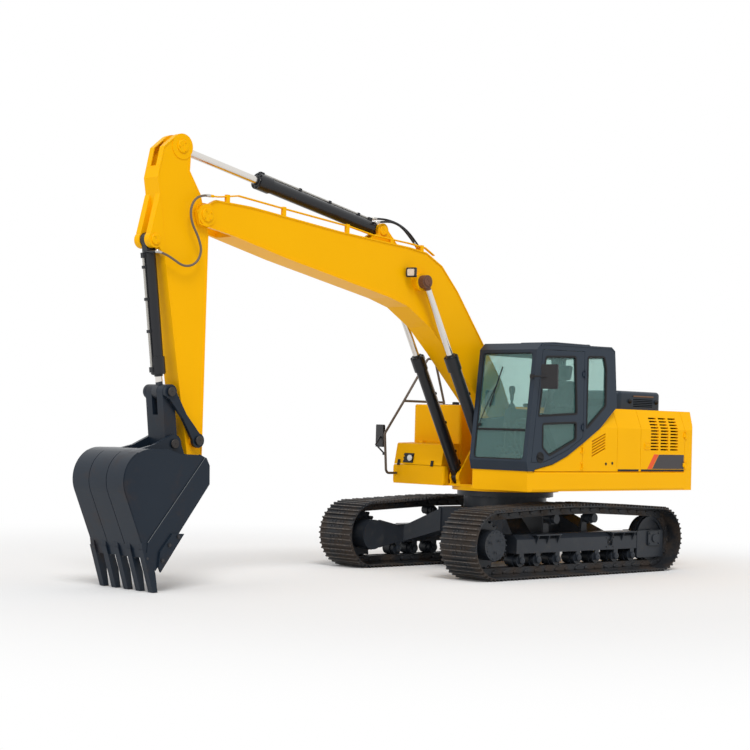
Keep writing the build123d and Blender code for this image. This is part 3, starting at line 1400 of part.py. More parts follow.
# Ports across the barrels, which end beside their hoses. Columns: cylinder, place, start and end along Y
HOSE_PLAY = 3.0
PORTS = (
    ("arm_cylinder", ARM_HOSES[0][2][0], 20, ARM_HOSES[0][1] - HOSE - HOSE_PLAY),
    ("bucket_cylinder", NOSE_HOSE[-1], 20, NOSE_HOSE_Y - HOSE - HOSE_PLAY),
)
HEAD_LENGTH = 190.0
BORE_START = 165.0
EYE_RADIUS = 84.0
for name, foot, eye, middles, tube_r, head_r, rod_r, pin_r, tube_start, head_end, rod_start, way in CYLINDERS:
    span = reach(foot, eye)
    axes = [
        Plane(origin=(foot[0], y, foot[1]), z_dir=(eye[0] - foot[0], 0, eye[1] - foot[1]), x_dir=(0, 1, 0))
        for y in middles
    ]
    with BuildPart() as barrel:
        for y, axis in zip(middles, axes):
            # Radius of each round part, and its ends along the axis
            for radius, start, end in ((tube_r, tube_start, head_end), (head_r, head_end - HEAD_LENGTH, head_end)):
                with BuildSketch(axis.offset(start)):
                    Circle(radius)
                extrude(amount=end - start)
            with BuildSketch(axis):
                Rectangle(2 * eye_half, 1.5 * EYE_RADIUS)
            extrude(amount=tube_start + 20)
            # Oil pipe from the closed end to the head, its two port blocks and its clamps
            across = way * (tube_r + OIL_PIPE + 6)
            length = head_end - tube_start
            blocks = [(tube_start + 20, 60, 48), (head_end - 80, 60, 48)]
            blocks += [(tube_start + share * length, 34, 40) for share in CLAMPS]
            for start, long, wide in blocks:
                with BuildSketch(axis.offset(start)):
                    with Locations((0, across / 2)):
                        Rectangle(wide, abs(across) + 2 * OIL_PIPE + 8)
                extrude(amount=long)
            with BuildSketch(axis.offset(tube_start + 30)):
                with Locations((0, across)):
                    Circle(OIL_PIPE)
            extrude(amount=length - 60)
            with BuildSketch(side(y + eye_half)):
                with Locations(foot):
                    Circle(EYE_RADIUS)
            extrude(amount=2 * eye_half)
            with BuildSketch(axis.offset(BORE_START)):
                Circle(rod_r + TURN_FIT)
            extrude(amount=head_end, mode=Mode.SUBTRACT)
            with BuildSketch(side(y + eye_half)):
                with Locations(foot):
                    Circle(pin_r + TURN_FIT)
            extrude(amount=2 * eye_half, mode=Mode.SUBTRACT)
        for port, (x, z), y_low, y_high in PORTS:
            if port == name:
                with BuildSketch(side(y_high)):
                    with Locations((x, z)):
                        Circle(14)
                extrude(amount=y_high - y_low)
    save(barrel, f"{name}_barrel")
    with BuildPart() as rod:
        for y, axis in zip(middles, axes):
            with BuildSketch(axis.offset(rod_start)):
                Circle(rod_r)
            extrude(amount=span - rod_start)
            with BuildSketch(side(y + eye_half)):
                with Locations(eye):
                    Circle(EYE_RADIUS)
            extrude(amount=2 * eye_half)
    save(rod, f"{name}_rod")

# Handrail at the right front corner, and another beside the fuel tank's top
RAIL_Y = -1295.0
RAIL = 17.0
rail_route = (
    (TOOL_FRONT + SEAT_GAP, RAIL_Y, 1235),
    (1000, RAIL_Y, 1235),
    (1043, RAIL_Y, 1775),
    (687, RAIL_Y, 2230),
    (232, RAIL_Y, 2833),
    (90, RAIL_Y, 2833),
    (-120, RAIL_Y, 2230),
    (-120, RAIL_Y, BODY_TOP + 2 * SEAT_GAP),
)
with BuildPart() as handrail:
    with BuildLine() as rail_line:
        FilletPolyline(*rail_route, radius=60)
    with BuildSketch(Plane(origin=rail_route[0], z_dir=(1, 0, 0))):
        Circle(RAIL)
    sweep()
    with BuildSketch(Plane.YZ.offset(687 - 10)):
        with Locations((RAIL_Y, 2230)):
            Circle(RAIL)
    extrude(amount=-787)
save(handrail, "handrail")

# Mirrors, turned toward the seat, each on an arm: along X, Y and Z of the head's middle, the side, and the
# arm's foot on the cab or the handrail
MIRROR = (220.0, 30.0, 310.0)
MIRROR_OUT = 1558.0
MIRROR_TURN = 18.0


def pillar_at(z):
    """Front of the cab's corner pillar at a height."""
    (x_low, z_low), (x_high, z_high) = cab_profile[1], cab_profile[2]
    return x_low + (x_high - x_low) * (z - z_low) / (z_high - z_low)


for name, x, z, hand, foot in (
    ("mirror_left", 985.0, 2555.0, 1, (1072, CAB_OUT - 30, 2555)),
    ("mirror_right", 870.0, 1740.0, -1, (1021, RAIL_Y - RAIL - 8, 1500)),
):
    with BuildPart() as mirror:
        with Locations(Location((x, hand * MIRROR_OUT, z), (0, 0, 90 + hand * MIRROR_TURN))):
            Box(*MIRROR)
        fillet(mirror.edges().sort_by(SortBy.LENGTH)[:4], 14)
        start = (foot[0], hand * foot[1] if hand > 0 else foot[1], foot[2])
        bend = (foot[0] + 20, hand * (MIRROR_OUT - 90), (foot[2] + z) / 2)
        with BuildLine():
            Polyline(start, bend, (x + 5, hand * (MIRROR_OUT - 20), z))
        with BuildSketch(Plane(origin=start, z_dir=(bend[0] - start[0], bend[1] - start[1], bend[2] - start[2]))):
            Circle(11)
        sweep(transition=Transition.ROUND)
        # Foot: against the sloping pillar, or against the rail's tube
        if hand > 0:
            with BuildSketch(side(CAB_OUT - 5)):
                outline(
                    (SEAT_GAP + pillar_at(z - 25), z - 25),
                    (SEAT_GAP + pillar_at(z + 25), z + 25),
                    (foot[0] + 15, z + 25),
                    (foot[0] + 15, z - 25),
                )
            extrude(amount=50)
        else:
            with Locations((foot[0], RAIL_Y - RAIL - SEAT_GAP - 12, foot[2])):
                Box(34, 24, 40)
    save(mirror, name)

for label, place in (
    ("boom foot", BOOM_FOOT),
    ("boom tip", BOOM_TIP),
    ("boom cylinder foot", BOOM_CYL_FOOT),
    ("boom cylinder eye", BOOM_CYL_PIN),
    ("arm cylinder foot", ARM_CYL_FOOT),
    ("arm top", ARM_TOP),
    ("bucket cylinder foot", BUCKET_CYL_FOOT),
    ("link top", LINK_TOP),
    ("link pin", LINK_PIN),
    ("bucket pin", BUCKET_PIN),
    ("bucket link pin", BUCKET_LINK_PIN),
):
    print(f"{label}: x {(place[0] - MIDDLE_X) / 1000:.4f} z {place[1] / 1000:.4f}")
print(f"middle of the machine {MIDDLE_X:.3f}")
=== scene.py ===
"""Looks of the crawler excavator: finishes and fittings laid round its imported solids, piece by piece.

Places are in metres about the swing axis, as a builder measures the machine: X forward, Y to the cab's
side, Z up. The frame's own origin lies further forward, so each finished piece is shifted by SWING_X.
"""

import bmesh
import bpy
import numpy as np
from mathutils import Matrix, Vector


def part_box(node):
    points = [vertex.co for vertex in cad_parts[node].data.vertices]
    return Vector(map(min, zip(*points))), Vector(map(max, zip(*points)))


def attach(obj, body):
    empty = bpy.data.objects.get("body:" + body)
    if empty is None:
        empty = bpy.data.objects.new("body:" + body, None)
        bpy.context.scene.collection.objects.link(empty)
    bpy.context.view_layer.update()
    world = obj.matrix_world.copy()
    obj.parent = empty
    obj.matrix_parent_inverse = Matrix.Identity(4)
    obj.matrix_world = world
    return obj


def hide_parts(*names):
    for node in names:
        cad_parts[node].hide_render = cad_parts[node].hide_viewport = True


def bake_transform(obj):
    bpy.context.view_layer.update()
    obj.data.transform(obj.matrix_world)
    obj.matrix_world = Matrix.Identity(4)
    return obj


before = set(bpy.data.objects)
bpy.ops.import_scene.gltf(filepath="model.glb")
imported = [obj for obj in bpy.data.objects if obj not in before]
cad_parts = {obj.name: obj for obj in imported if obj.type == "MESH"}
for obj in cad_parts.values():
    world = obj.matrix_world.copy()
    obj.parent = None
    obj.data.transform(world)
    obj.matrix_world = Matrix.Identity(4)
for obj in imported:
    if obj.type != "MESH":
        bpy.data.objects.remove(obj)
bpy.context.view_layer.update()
SWING_X = -1.98

# The photographer's camera stands at the cab's front corner, low, with a long lens.
# Its place and turn were worked out from the tracks' edges.
CAMERA_AT = np.array([17.972 + SWING_X, 15.758, 1.897])
YAW, PITCH, ROLL = np.radians([-134.417, 1.604, 1.583])
FOCAL_PIXELS, PHOTO_PIXELS, SENSOR = 1754.972, 750, 36
ahead = np.array([np.cos(PITCH) * np.cos(YAW), np.cos(PITCH) * np.sin(YAW), np.sin(PITCH)])
level_right = np.array([np.sin(YAW), -np.cos(YAW), 0.0])
level_up = np.cross(level_right, ahead)
right = np.cos(ROLL) * level_right + np.sin(ROLL) * level_up
up = -np.sin(ROLL) * level_right + np.cos(ROLL) * level_up
view = Matrix(np.column_stack([right, up, -ahead]).tolist()).to_4x4()
view.translation = CAMERA_AT
camera_data = bpy.data.cameras.new("camera")
camera_data.sensor_width = SENSOR
camera_data.lens = FOCAL_PIXELS * SENSOR / PHOTO_PIXELS
camera_data.clip_end = 500
camera = bpy.data.objects.new("camera", camera_data)
camera.matrix_world = view
bpy.context.scene.collection.objects.link(camera)
bpy.context.scene.camera = camera


# Finishes are mixed from procedural nodes. A wire is one number that varies over a surface, and
# arithmetic on wires adds the nodes that work it out.
class Wire:
    """One output of a tree's nodes. + - * and ** on it add Math nodes."""

    def __init__(self, tree, socket):
        self.tree, self.socket = tree, socket

    def result(operation, own=0):
        """A method that adds a Math node, with the wire as its first value or, for 1, as its second."""

        def add_node(self, other):
            return self.tree.node("Math", {"operation": operation}, {own: self, 1 - own: other})

        return add_node

    __add__ = __radd__ = result("ADD")
    __mul__ = __rmul__ = result("MULTIPLY")
    __sub__, __rsub__, __pow__ = result("SUBTRACT"), result("SUBTRACT", 1), result("POWER")


class NodeTree:
    """The nodes of a material or of the world."""

    def __init__(self, owner):
        owner.use_nodes = True
        self.nodes, self.links = owner.node_tree.nodes, owner.node_tree.links

    def set(self, node, inputs):
        """Gives a node's sockets their values or links."""
        for key, value in inputs.items():
            if isinstance(value, Wire):
                self.links.new(value.socket, node.inputs[key])
            else:
                node.inputs[key].default_value = value

    def node(self, kind, settings=None, inputs=None, out=0):
        """Adds a node: its settings first, then the values or links of its sockets. Gives one output."""
        made = self.nodes.new("ShaderNode" + kind)
        for key, value in (settings or {}).items():
            setattr(made, key, value)
        self.set(made, inputs or {})
        return Wire(self, made.outputs[out])


class Finish(NodeTree):
    """A paint, metal, rubber or glass: a material, its main shader and the piece's own coordinates. Slot is
    its name in the record and is not used, and gloss is the share of a plain surface's mirror reflection, 0.5
    for glass."""

    def __init__(self, name, slot, colour, gloss=0.3, **plain):
        self.slot, self.material = slot, bpy.data.materials.new(name)
        super().__init__(self.material)
        self.shader, self.output = self.nodes["Principled BSDF"], self.nodes["Material Output"]
        self.set(self.shader, {"Specular IOR Level": gloss})
        self.look(base_color=(*colour, 1), **plain)
        self.place = self.node("TexCoord", out="Object")

    def look(self, **inputs):
        """Sets inputs of the main shader, their names in lower case with underscores."""
        self.set(self.shader, {key.replace("_", " ").title(): value for key, value in inputs.items()})

    def noise(self, scale, detail=3.0, rough=0.55, stretch=None):
        """Soft noise over the piece, scale features to a metre, drawn out along an axis by stretch."""
        where = self.place
        if stretch:
            where = self.node("Mapping", {}, {"Vector": where, "Scale": stretch})
        values = {"Vector": where, "Scale": scale, "Detail": detail, "Roughness": rough}
        return self.node("TexNoise", {}, values)

    def bands(self, way, scale):
        """Even bands across one axis, from 0 to 1."""
        return self.node("TexWave", {"bands_direction": way}, {"Vector": self.place, "Scale": scale}, out=1)

    def between(self, value, low, high):
        """0 below low, 1 above high and smooth between them."""
        settings = {"interpolation_type": "SMOOTHSTEP"}
        return self.node("MapRange", settings, {"Value": value, "From Min": low, "From Max": high})

    def blend(self, share, first, second):
        """A colour that goes from the first to the second as share goes from 0 to 1."""
        first, second = (value if isinstance(value, Wire) else (*value, 1) for value in (first, second))
        return self.node("Mix", {"data_type": "RGBA"}, {0: share, 6: first, 7: second}, out=2)

    def mixed(self, share, first, second):
        """A shader that goes from the first to the second as share goes from 0 to 1."""
        return self.node("MixShader", {}, {0: share, 1: first, 2: second})

    def relief(self, height, distance, strength=0.5):
        """Dents the surface by a height, up to a distance in metres."""
        values = {"Height": height, "Distance": distance, "Strength": strength}
        self.look(normal=self.node("Bump", {}, values))

    def upward(self):
        """How far the surface faces up, from 0 on walls to 1 on level tops."""
        return self.node("SeparateXYZ", {}, {0: self.node("TexCoord", out="Normal")}, out="Z")

    def dust_film(self, scale, most, level):
        """Dust in patches, up to most, growing from nothing where the surface faces up by level."""
        patches = self.between(self.noise(scale, 6), 0.5, 0.85)
        return patches * most * self.between(self.upward(), level, 1.0)


# Studio: a pale level floor that fades to white, one wide soft lamp high on the camera's side, a weaker
# one from the front, and an even white surround.
SHOWN_RAYS = ("Is Camera Ray", "Is Glossy Ray", "Is Transmission Ray")
FLOOR_HALF, FADE_FROM, FADE_TO = 90.0, 5.0, 11.0
floor_finish = Finish("studio_floor", None, (0.86, 0.86, 0.86), roughness=0.9)
away = floor_finish.node("VectorMath", {"operation": "LENGTH"}, {0: floor_finish.place}, out="Value")
seen = sum(floor_finish.node("LightPath", out=ray) for ray in SHOWN_RAYS)
white = floor_finish.node("Emission", {}, {"Color": (1, 1, 1, 1), "Strength": 1})
plain_floor = Wire(floor_finish, floor_finish.shader.outputs[0])
faded = floor_finish.between(away, FADE_FROM, FADE_TO) * seen
floor_finish.set(floor_finish.output, {"Surface": floor_finish.mixed(faded, plain_floor, white)})
floor_data = bpy.data.meshes.new("floor")
floor_corners = [(x * FLOOR_HALF, y * FLOOR_HALF, 0) for x, y in ((-1, -1), (1, -1), (1, 1), (-1, 1))]
floor_data.from_pydata(floor_corners, [], [(0, 1, 2, 3)])
floor = bpy.data.objects.new("floor", floor_data)
floor.data.materials.append(floor_finish.material)
bpy.context.scene.collection.objects.link(floor)

SURROUND_LIGHT = 0.55
world = bpy.data.worlds.new("surround")
bpy.context.scene.world = world
surround = NodeTree(world)
shown = surround.node("LightPath", out=SHOWN_RAYS[0])
for ray in SHOWN_RAYS[1:]:
    other = surround.node("LightPath", out=ray)
    shown = surround.node("Math", {"operation": "MAXIMUM"}, {0: shown, 1: other})
level = surround.node("MapRange", {}, {"Value": shown, "To Min": SURROUND_LIGHT, "To Max": 1.0})
surround.set(surround.nodes["Background"], {"Color": (1, 1, 1, 1), "Strength": level})

# Columns: lamp, direction that it shines in, strength, softness in degrees
for lamp_name, shine, power, softness in (
    ("key_lamp", (-0.45, -0.62, -0.95), 1.75, 25),
    ("front_lamp", (-1.0, 0.1, -0.35), 0.55, 50),
):
    lamp_data = bpy.data.lights.new(lamp_name, "SUN")
    lamp_data.energy, lamp_data.angle = power, np.radians(softness)
    lamp = bpy.data.objects.new(lamp_name, lamp_data)
    back = -np.array(shine) / np.linalg.norm(shine)
    across = np.cross((0, 0, 1), back)
    across /= np.linalg.norm(across)
    lamp.matrix_world = Matrix(np.column_stack([across, np.cross(back, across), back]).tolist()).to_4x4()
    bpy.context.scene.collection.objects.link(lamp)
bpy.context.scene.view_settings.view_transform = "Standard"


# Tracks: forged links and rolled three-bar shoes, rusty brown between the bars, with lighter steel along the
# tops of the bars, worn bare and also a painted highlight, and dust in the corners. Four bolts hold a shoe to
# each of its two links.
def hardware(name, slot, colour, **plain):
    """A finish for small fittings: plain values, with a fine noise in its roughness."""
    finish = Finish(name, slot, colour, **plain)
    rough = plain["roughness"]
    finish.look(roughness=rough * 0.8 + 0.4 * rough * finish.noise(30))
    return finish


track_steel = Finish("track_steel", "track_steel", (0.03, 0.028, 0.027), metallic=0.15, roughness=0.6)
rust = track_steel.between(track_steel.noise(3.5, 5), 0.42, 0.62)
grit = track_steel.noise(45, 4)
shoe_colour = track_steel.blend(rust, (0.020, 0.022, 0.026), (0.042, 0.032, 0.026))
packed_dust = track_steel.between(grit, 0.55, 0.75) * 0.5
shoe_colour = track_steel.blend(packed_dust, shoe_colour, (0.075, 0.066, 0.056))
track_steel.look(base_color=shoe_colour, roughness=0.45 + 0.3 * rust)
track_steel.relief(grit, 0.004, 0.4)
# Painted highlight: the lighter steel on the bar tops also stands in for the light that catches the bars.
worn_and_highlit_steel = Finish("bar_wear_and_highlight", "track_steel", (0.12, 0.105, 0.095), metallic=0.5, roughness=0.45)
wear_and_highlight_mask = worn_and_highlit_steel.between(worn_and_highlit_steel.noise(14, 4, stretch=(1, 6, 1)), 0.4, 0.65)
bar_colour = worn_and_highlit_steel.blend(wear_and_highlight_mask, (0.045, 0.038, 0.034), (0.15, 0.135, 0.12))
worn_and_highlit_steel.look(base_color=bar_colour)
bolt_steel = hardware("bolt_steel", "steel_blue_paint", (0.05, 0.05, 0.055), metallic=0.6, roughness=0.45)

# The loop's sizes are the solids' own: axles, wrap radius of the shoe plates, carried height and bars.
AXLE_X, AXLE_Z, WRAP = 1.685, 0.440, 0.414
CARRIED = ((0.334, 0.910), (-0.455, 0.910))
SHOES, TRACK_Y, SHOE_HALF, BAR = 46, 1.1, 0.299, 0.026


def tangent_turn(centre_x, point, way):
    """Angle at which a tangent leaves the wrap circle for a point: the point's bearing, and the arc whose
    cosine is the circle's radius over the point's distance."""
    dx, dz = point[0] - centre_x, point[1] - AXLE_Z
    return np.arctan2(dz, dx) + way * np.arccos(WRAP / np.hypot(dx, dz))


def in_3d(pairs, y):
    """Points or directions of the machine's side plane, X and Z, with their place along Y."""
    return np.column_stack([pairs[:, 0], np.full(len(pairs), y), pairs[:, 1]])


def chain(share, out, y):
    """Places at shares of the loop's length, out from it and at y, with its headings and outward directions.
    A level run, an arc round the front, straights over the carriers and an arc round the rear are joined
    and read off by length."""
    front = np.linspace(-np.pi / 2, tangent_turn(AXLE_X, CARRIED[0], -1), 60)
    rear = np.linspace(tangent_turn(-AXLE_X, CARRIED[1], 1), 1.5 * np.pi, 60)
    front_arc = np.stack([AXLE_X + WRAP * np.cos(front), AXLE_Z + WRAP * np.sin(front)], -1)
    rear_arc = np.stack([-AXLE_X + WRAP * np.cos(rear), AXLE_Z + WRAP * np.sin(rear)], -1)
    line = np.concatenate([[(-AXLE_X, AXLE_Z - WRAP)], front_arc, CARRIED, rear_arc])
    along = np.concatenate([[0], np.cumsum(np.linalg.norm(np.diff(line, axis=0), axis=1))])
    reach = np.mod(share, 1.0) * along[-1]
    spot, step = (
        np.stack([np.interp(where, along, line[:, axis]) for axis in (0, 1)], -1)
        for where in (reach, np.mod(reach + 0.004, along[-1]))
    )
    heading = (step - spot) / np.linalg.norm(step - spot, axis=1, keepdims=True)
    outward = np.stack([heading[:, 1], -heading[:, 0]], -1)
    return in_3d(spot + out * outward, y), in_3d(heading, 0), in_3d(outward, 0)


def ring_walls(rings, points):
    """Faces between rings of points, each ring closed, and the two end caps."""
    a, b = np.meshgrid(np.arange(rings - 1), np.arange(points), indexing="ij")
    c = (b + 1) % points
    walls = np.stack([a * points + b, (a + 1) * points + b, (a + 1) * points + c, a * points + c], -1)
    caps = [list(range(points)), list(range((rings - 1) * points, rings * points))]
    return walls.reshape(-1, 4).tolist() + caps


def circle(sides):
    """Points round the origin at equal angles, one away from it."""
    angle = np.arange(sides) * 2 * np.pi / sides
    return np.stack([np.cos(angle), np.sin(angle)], -1)


def turned(profile, sides=16):
    """A turned shape: each radius and height of the profile becomes a ring of points round Z."""
    rings = [np.column_stack([radius * circle(sides), np.full(sides, height)]) for radius, height in profile]
    return np.concatenate(rings), ring_walls(len(profile), sides)


def inward(outline):
    """At each corner of an outline, the step along its half angle that moves both its sides in by one."""
    before, after = outline - np.roll(outline, 1, 0), np.roll(outline, -1, 0) - outline
    normals = [np.stack([side[:, 1], -side[:, 0]], -1) for side in (before, after)]
    normals = [normal / np.linalg.norm(normal, axis=1, keepdims=True) for normal in normals]
    turn = 1 + np.sum(normals[0] * normals[1], axis=1, keepdims=True)
    ahead_of = np.roll(outline, -1, 0)
    area = np.sum(outline[:, 0] * ahead_of[:, 1] - ahead_of[:, 0] * outline[:, 1])
    return -np.sign(area) * (normals[0] + normals[1]) / np.maximum(turn, 0.2)


AXES_OF = {"XZ": [0, 2, 1], "YZ": [2, 0, 1], "XY": [0, 1, 2]}


def drawn_rings(outline, section, plane):
    """A closed outline repeated at each corner of a section, an inward step and a level."""
    outline = np.array(outline, float)
    step, ones = inward(outline), np.ones(len(outline))
    rings = [np.column_stack([outline + draw * step, level * ones]) for draw, level in section]
    return np.concatenate(rings)[:, AXES_OF[plane]]


def slab(outline, low, high, ease=0.0, plane="XZ"):
    """A plate with eased edges: its outline is carried from low to high, and its first and last rings are
    drawn in by ease along the corners' half angles."""
    section = [(0, low), (0, high)]
    if ease:
        section = [(ease, low), (0, low + ease), (0, high - ease), (ease, high)]
    return drawn_rings(outline, section, plane), ring_walls(len(section), len(outline))


def framed(outline, section, plane="XZ"):
    """A strip round a closed outline: the outline's rings at the section's corners, joined both ways."""
    count, sides = len(outline), len(section)
    a, b = np.meshgrid(np.arange(sides), np.arange(count), indexing="ij")
    c, d = (a + 1) % sides, (b + 1) % count
    walls = np.stack([a * count + b, c * count + b, c * count + d, a * count + d], -1)
    return drawn_rings(outline, section, plane), walls.reshape(-1, 4).tolist()


def rectangle(low, high):
    """An outline's four corners from its lowest and its highest."""
    return [low, (high[0], low[1]), high, (low[0], high[1])]


def stood(shape, places, axis=(0, 0, 1), heading=None):
    """Copies of a shape at each place, its Z turned to axis. All copies are one array of points."""
    points, faces = shape
    places = np.atleast_2d(np.array(places, float))
    upright = np.broadcast_to(np.array(axis, float), places.shape)
    upright = upright / np.linalg.norm(upright, axis=1, keepdims=True)
    if heading is None:
        heading = np.where(np.abs(upright[:, :1]) > 0.9, (0.0, 1.0, 0.0), (1.0, 0.0, 0.0))
    heading = np.broadcast_to(np.array(heading, float), places.shape)
    forward = heading - upright * np.sum(heading * upright, axis=1, keepdims=True)
    forward = forward / np.linalg.norm(forward, axis=1, keepdims=True)
    turn = np.stack([forward, np.cross(upright, forward), upright], 1)
    moved = np.einsum("pk,nkx->npx", points, turn) + places[:, None, :]
    count = len(points)
    copies = [[v + copy * count for v in face] for copy in range(len(places)) for face in faces]
    return moved.reshape(-1, 3), copies


def paired(shape, places, axis=(0, 1, 0), heading=None):
    """Copies of a shape at places on the machine's left, and the same on its right, mirrored about Y = 0."""
    sides = np.array([(1, 1, 1), (1, -1, 1)])
    return [stood(shape, np.array(places) * side, np.array(axis) * side, heading) for side in sides]


def piece(name, shapes, finish, body, soft_angle=35):
    """Joins shapes into one piece in its finish, with all faces turned outward, riding on its body. A piece
    with no body is left for a blend between two."""
    points, faces, start = [], [], 0
    for shape_points, shape_faces in shapes:
        points.append(shape_points)
        faces += [[v + start for v in face] for face in shape_faces]
        start += len(shape_points)
    data = bpy.data.meshes.new(name)
    data.from_pydata((np.concatenate(points) + (SWING_X, 0, 0)).tolist(), [], faces)
    data.materials.append(finish.material)
    made = bpy.data.objects.new(name, data)
    bpy.context.scene.collection.objects.link(made)
    faces_out = bmesh.new()
    faces_out.from_mesh(data)
    bmesh.ops.recalc_face_normals(faces_out, faces=faces_out.faces)
    faces_out.to_mesh(data)
    faces_out.free()
    data.shade_smooth()
    data.set_sharp_from_angle(angle=np.radians(soft_angle))
    if body:
        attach(made, body)
    return made


def coat(finish, *names):
    """Gives CAD nodes their finish."""
    for name in names:
        for material_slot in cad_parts[name].material_slots:
            material_slot.material = finish.material


coat(track_steel, "track_left", "track_right")
BOLT = turned([(0.011, 0), (0.011, 0.007), (0.009, 0.010)], 6)
bar_tip = slab(rectangle((-0.0065, -SHOE_HALF), (0.0065, SHOE_HALF)), -0.003, 0.0, 0.001, "XY")
shoe = np.arange(SHOES) + 0.5
for hand, side_name in ((1, "left"), (-1, "right")):
    middle = hand * TRACK_Y
    tips, heads = [], []
    for place, height in ((-0.36, 1.0), (-0.02, 0.8), (0.32, 1.0)):
        places, along, outward = chain((shoe + place) / SHOES, BAR * height + 0.0008, middle)
        tips.append(stood(bar_tip, places, outward, along))
    for place in (-0.19, 0.15):
        for off in (-0.105, -0.045, 0.045, 0.105):
            places, along, outward = chain((shoe + place) / SHOES, 0.0, middle + off)
            heads.append(stood(BOLT, places, outward, (0, 1, 0)))
    piece(f"track_bar_tips_{side_name}", tips, worn_and_highlit_steel, "undercarriage", 30)
    piece(f"track_shoe_bolts_{side_name}", heads, bolt_steel, "undercarriage", 30)

# Chain links: forged side plates, waisted between their pin and bushing, seen below and above the rollers.
# Each pair is pressed onto a pin whose end stands out from the plate.
LINK_LONG, LINK_TALL, LINK_FACE = 0.088, 0.042, 0.0942
pitch = np.linspace(0, 2 * np.pi, 28, endpoint=False)
waist = 0.72 + 0.28 * np.cos(pitch) ** 2
lobes = np.stack([LINK_LONG * np.cos(pitch), LINK_TALL * np.sin(pitch) * waist], -1)
link_plate = slab(lobes, 0, 0.010, 0.003, "XY")
link_pin = turned([(0.021, 0), (0.021, 0.017), (0.017, 0.020)])
for hand, side_name in ((1, "left"), (-1, "right")):
    plates = []
    for way in (1, -1):
        y = hand * TRACK_Y + way * LINK_FACE
        places, along, outward = chain(shoe / SHOES, -0.070, y)
        plates.append(stood(link_plate, places, (0, way, 0), along))
        places, along, outward = chain((shoe + 0.5) / SHOES, -0.062, y)
        plates.append(stood(link_pin, places, (0, way, 0)))
    piece(f"chain_links_{side_name}", plates, track_steel, "undercarriage", 40)

# Sprockets, final drives, idlers and rollers: castings and forgings in the undercarriage's slate paint,
# with dust in patches, heavier on level tops. A ring of bolts and three plugs close each drive.
slate_paint = Finish(
    "slate_paint", "steel_blue_paint", (0.020, 0.025, 0.032),
    gloss=0.2, roughness=0.42, coat_weight=0.12, coat_roughness=0.25,
)
level_tops = slate_paint.between(slate_paint.upward(), 0.2, 0.9)
dust = slate_paint.between(slate_paint.noise(7, 6), 0.5, 0.8) * (0.25 + 0.5 * level_tops)
slate = slate_paint.blend(slate_paint.noise(1.6, 4), (0.015, 0.019, 0.025), (0.026, 0.031, 0.040))
dusty_slate = slate_paint.blend(dust, slate, (0.075, 0.070, 0.062))
slate_paint.look(base_color=dusty_slate, roughness=0.36 + 0.4 * dust)
slate_paint.relief(slate_paint.noise(160, 2), 0.0008, 0.25)
coat(slate_paint, "sprockets", "final_drives", "idlers", "track_rollers", "carrier_rollers")
coat(slate_paint, "track_frame_left", "track_frame_right", "carbody", "swing_bearing")


def bolt_ring(centre, radius, count, axis, size=1.0, phase=0.0):
    """Bolts at equal angles round a centre, their places worked out in the plane across the axis."""
    axis = np.array(axis, float) / np.linalg.norm(axis)
    beside = np.cross(axis, (0, 1, 0) if abs(axis[1]) < 0.9 else (1, 0, 0))
    beside /= np.linalg.norm(beside)
    angle = (np.arange(count) * 2 * np.pi / count + phase)[:, None]
    places = np.array(centre) + radius * (np.cos(angle) * beside + np.sin(angle) * np.cross(axis, beside))
    return stood((BOLT[0] * size, BOLT[1]), places, axis)


DRIVE_FACE, BOLT_CIRCLE, PLUG_CIRCLE = TRACK_Y + 0.262, 0.172, 0.09
plug = turned([(0.02, 0), (0.02, 0.008), (0.016, 0.011)], 6)
plug_turns = np.array([0.4, 2.5, 4.6])
plug_ring = (AXLE_X, AXLE_Z) + PLUG_CIRCLE * np.stack([np.cos(plug_turns), np.sin(plug_turns)], -1)
cover_bolts = paired(plug, in_3d(plug_ring, DRIVE_FACE))
for hand in (1, -1):
    cover_bolts.append(bolt_ring((AXLE_X, hand * DRIVE_FACE, AXLE_Z), BOLT_CIRCLE, 16, (0, hand, 0)))
piece("final_drive_bolts", cover_bolts, slate_paint, "undercarriage", 30)

# Roller collars: a pressed cap with a sunk centre over both ends of each lower roller's axle.
# They stand on the rollers' flanges, in the same slate paint.
ROLLER_X = (1.044, 0.720, 0.335, -0.090, -0.480, -0.880, -1.236)
ROLLER_Z, ROLLER_FACE = 0.221, 0.1235
collar_cap = turned([(0.045, 0), (0.045, 0.014), (0.032, 0.022), (0.012, 0.022), (0.008, 0.018)], 24)
collars = []
for way in (1, -1):
    collars += paired(collar_cap, [(x, TRACK_Y + way * ROLLER_FACE, ROLLER_Z) for x in ROLLER_X], (0, way, 0))
piece("roller_collars", collars, slate_paint, "undercarriage")

# Swing bearing and swing drive: ground rings bolted between the carbody and the turning frame, and the
# geared motor that turns them, bolted to the deck behind the boom's foot.
DRIVE_X, DRIVE_FLANGE_Z, MOTOR_FLANGE_Z, BEARING_CIRCLE = -0.45, 1.170, 1.470, 0.60
BEARING_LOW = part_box("swing_bearing")[0].z
lower_bolts = bolt_ring((0, 0, BEARING_LOW), BEARING_CIRCLE, 36, (0, 0, -1))
piece("bearing_lower_bolts", [lower_bolts], bolt_steel, "undercarriage", 30)
flange_bolts = bolt_ring((DRIVE_X, 0.0, DRIVE_FLANGE_Z), 0.161, 12, (0, 0, 1), 1.2)
motor_bolts = bolt_ring((DRIVE_X, 0.0, MOTOR_FLANGE_Z), 0.126, 10, (0, 0, 1))
piece("swing_drive_bolts", [flange_bolts, motor_bolts], bolt_steel, "house", 30)


# Track adjusters and idler bearings: a grease valve in its pocket on each beam, and the idler's axle held
# in bolted blocks outside and inside the yoke.
def oblong(long, wide, radius, steps=4):
    """A rectangle round the origin with eased corners."""
    half = np.array([(-0.5, -0.5), (0.5, -0.5), (0.5, 0.5), (-0.5, 0.5)]) * (long, wide)
    return rounded(half, radius, steps)


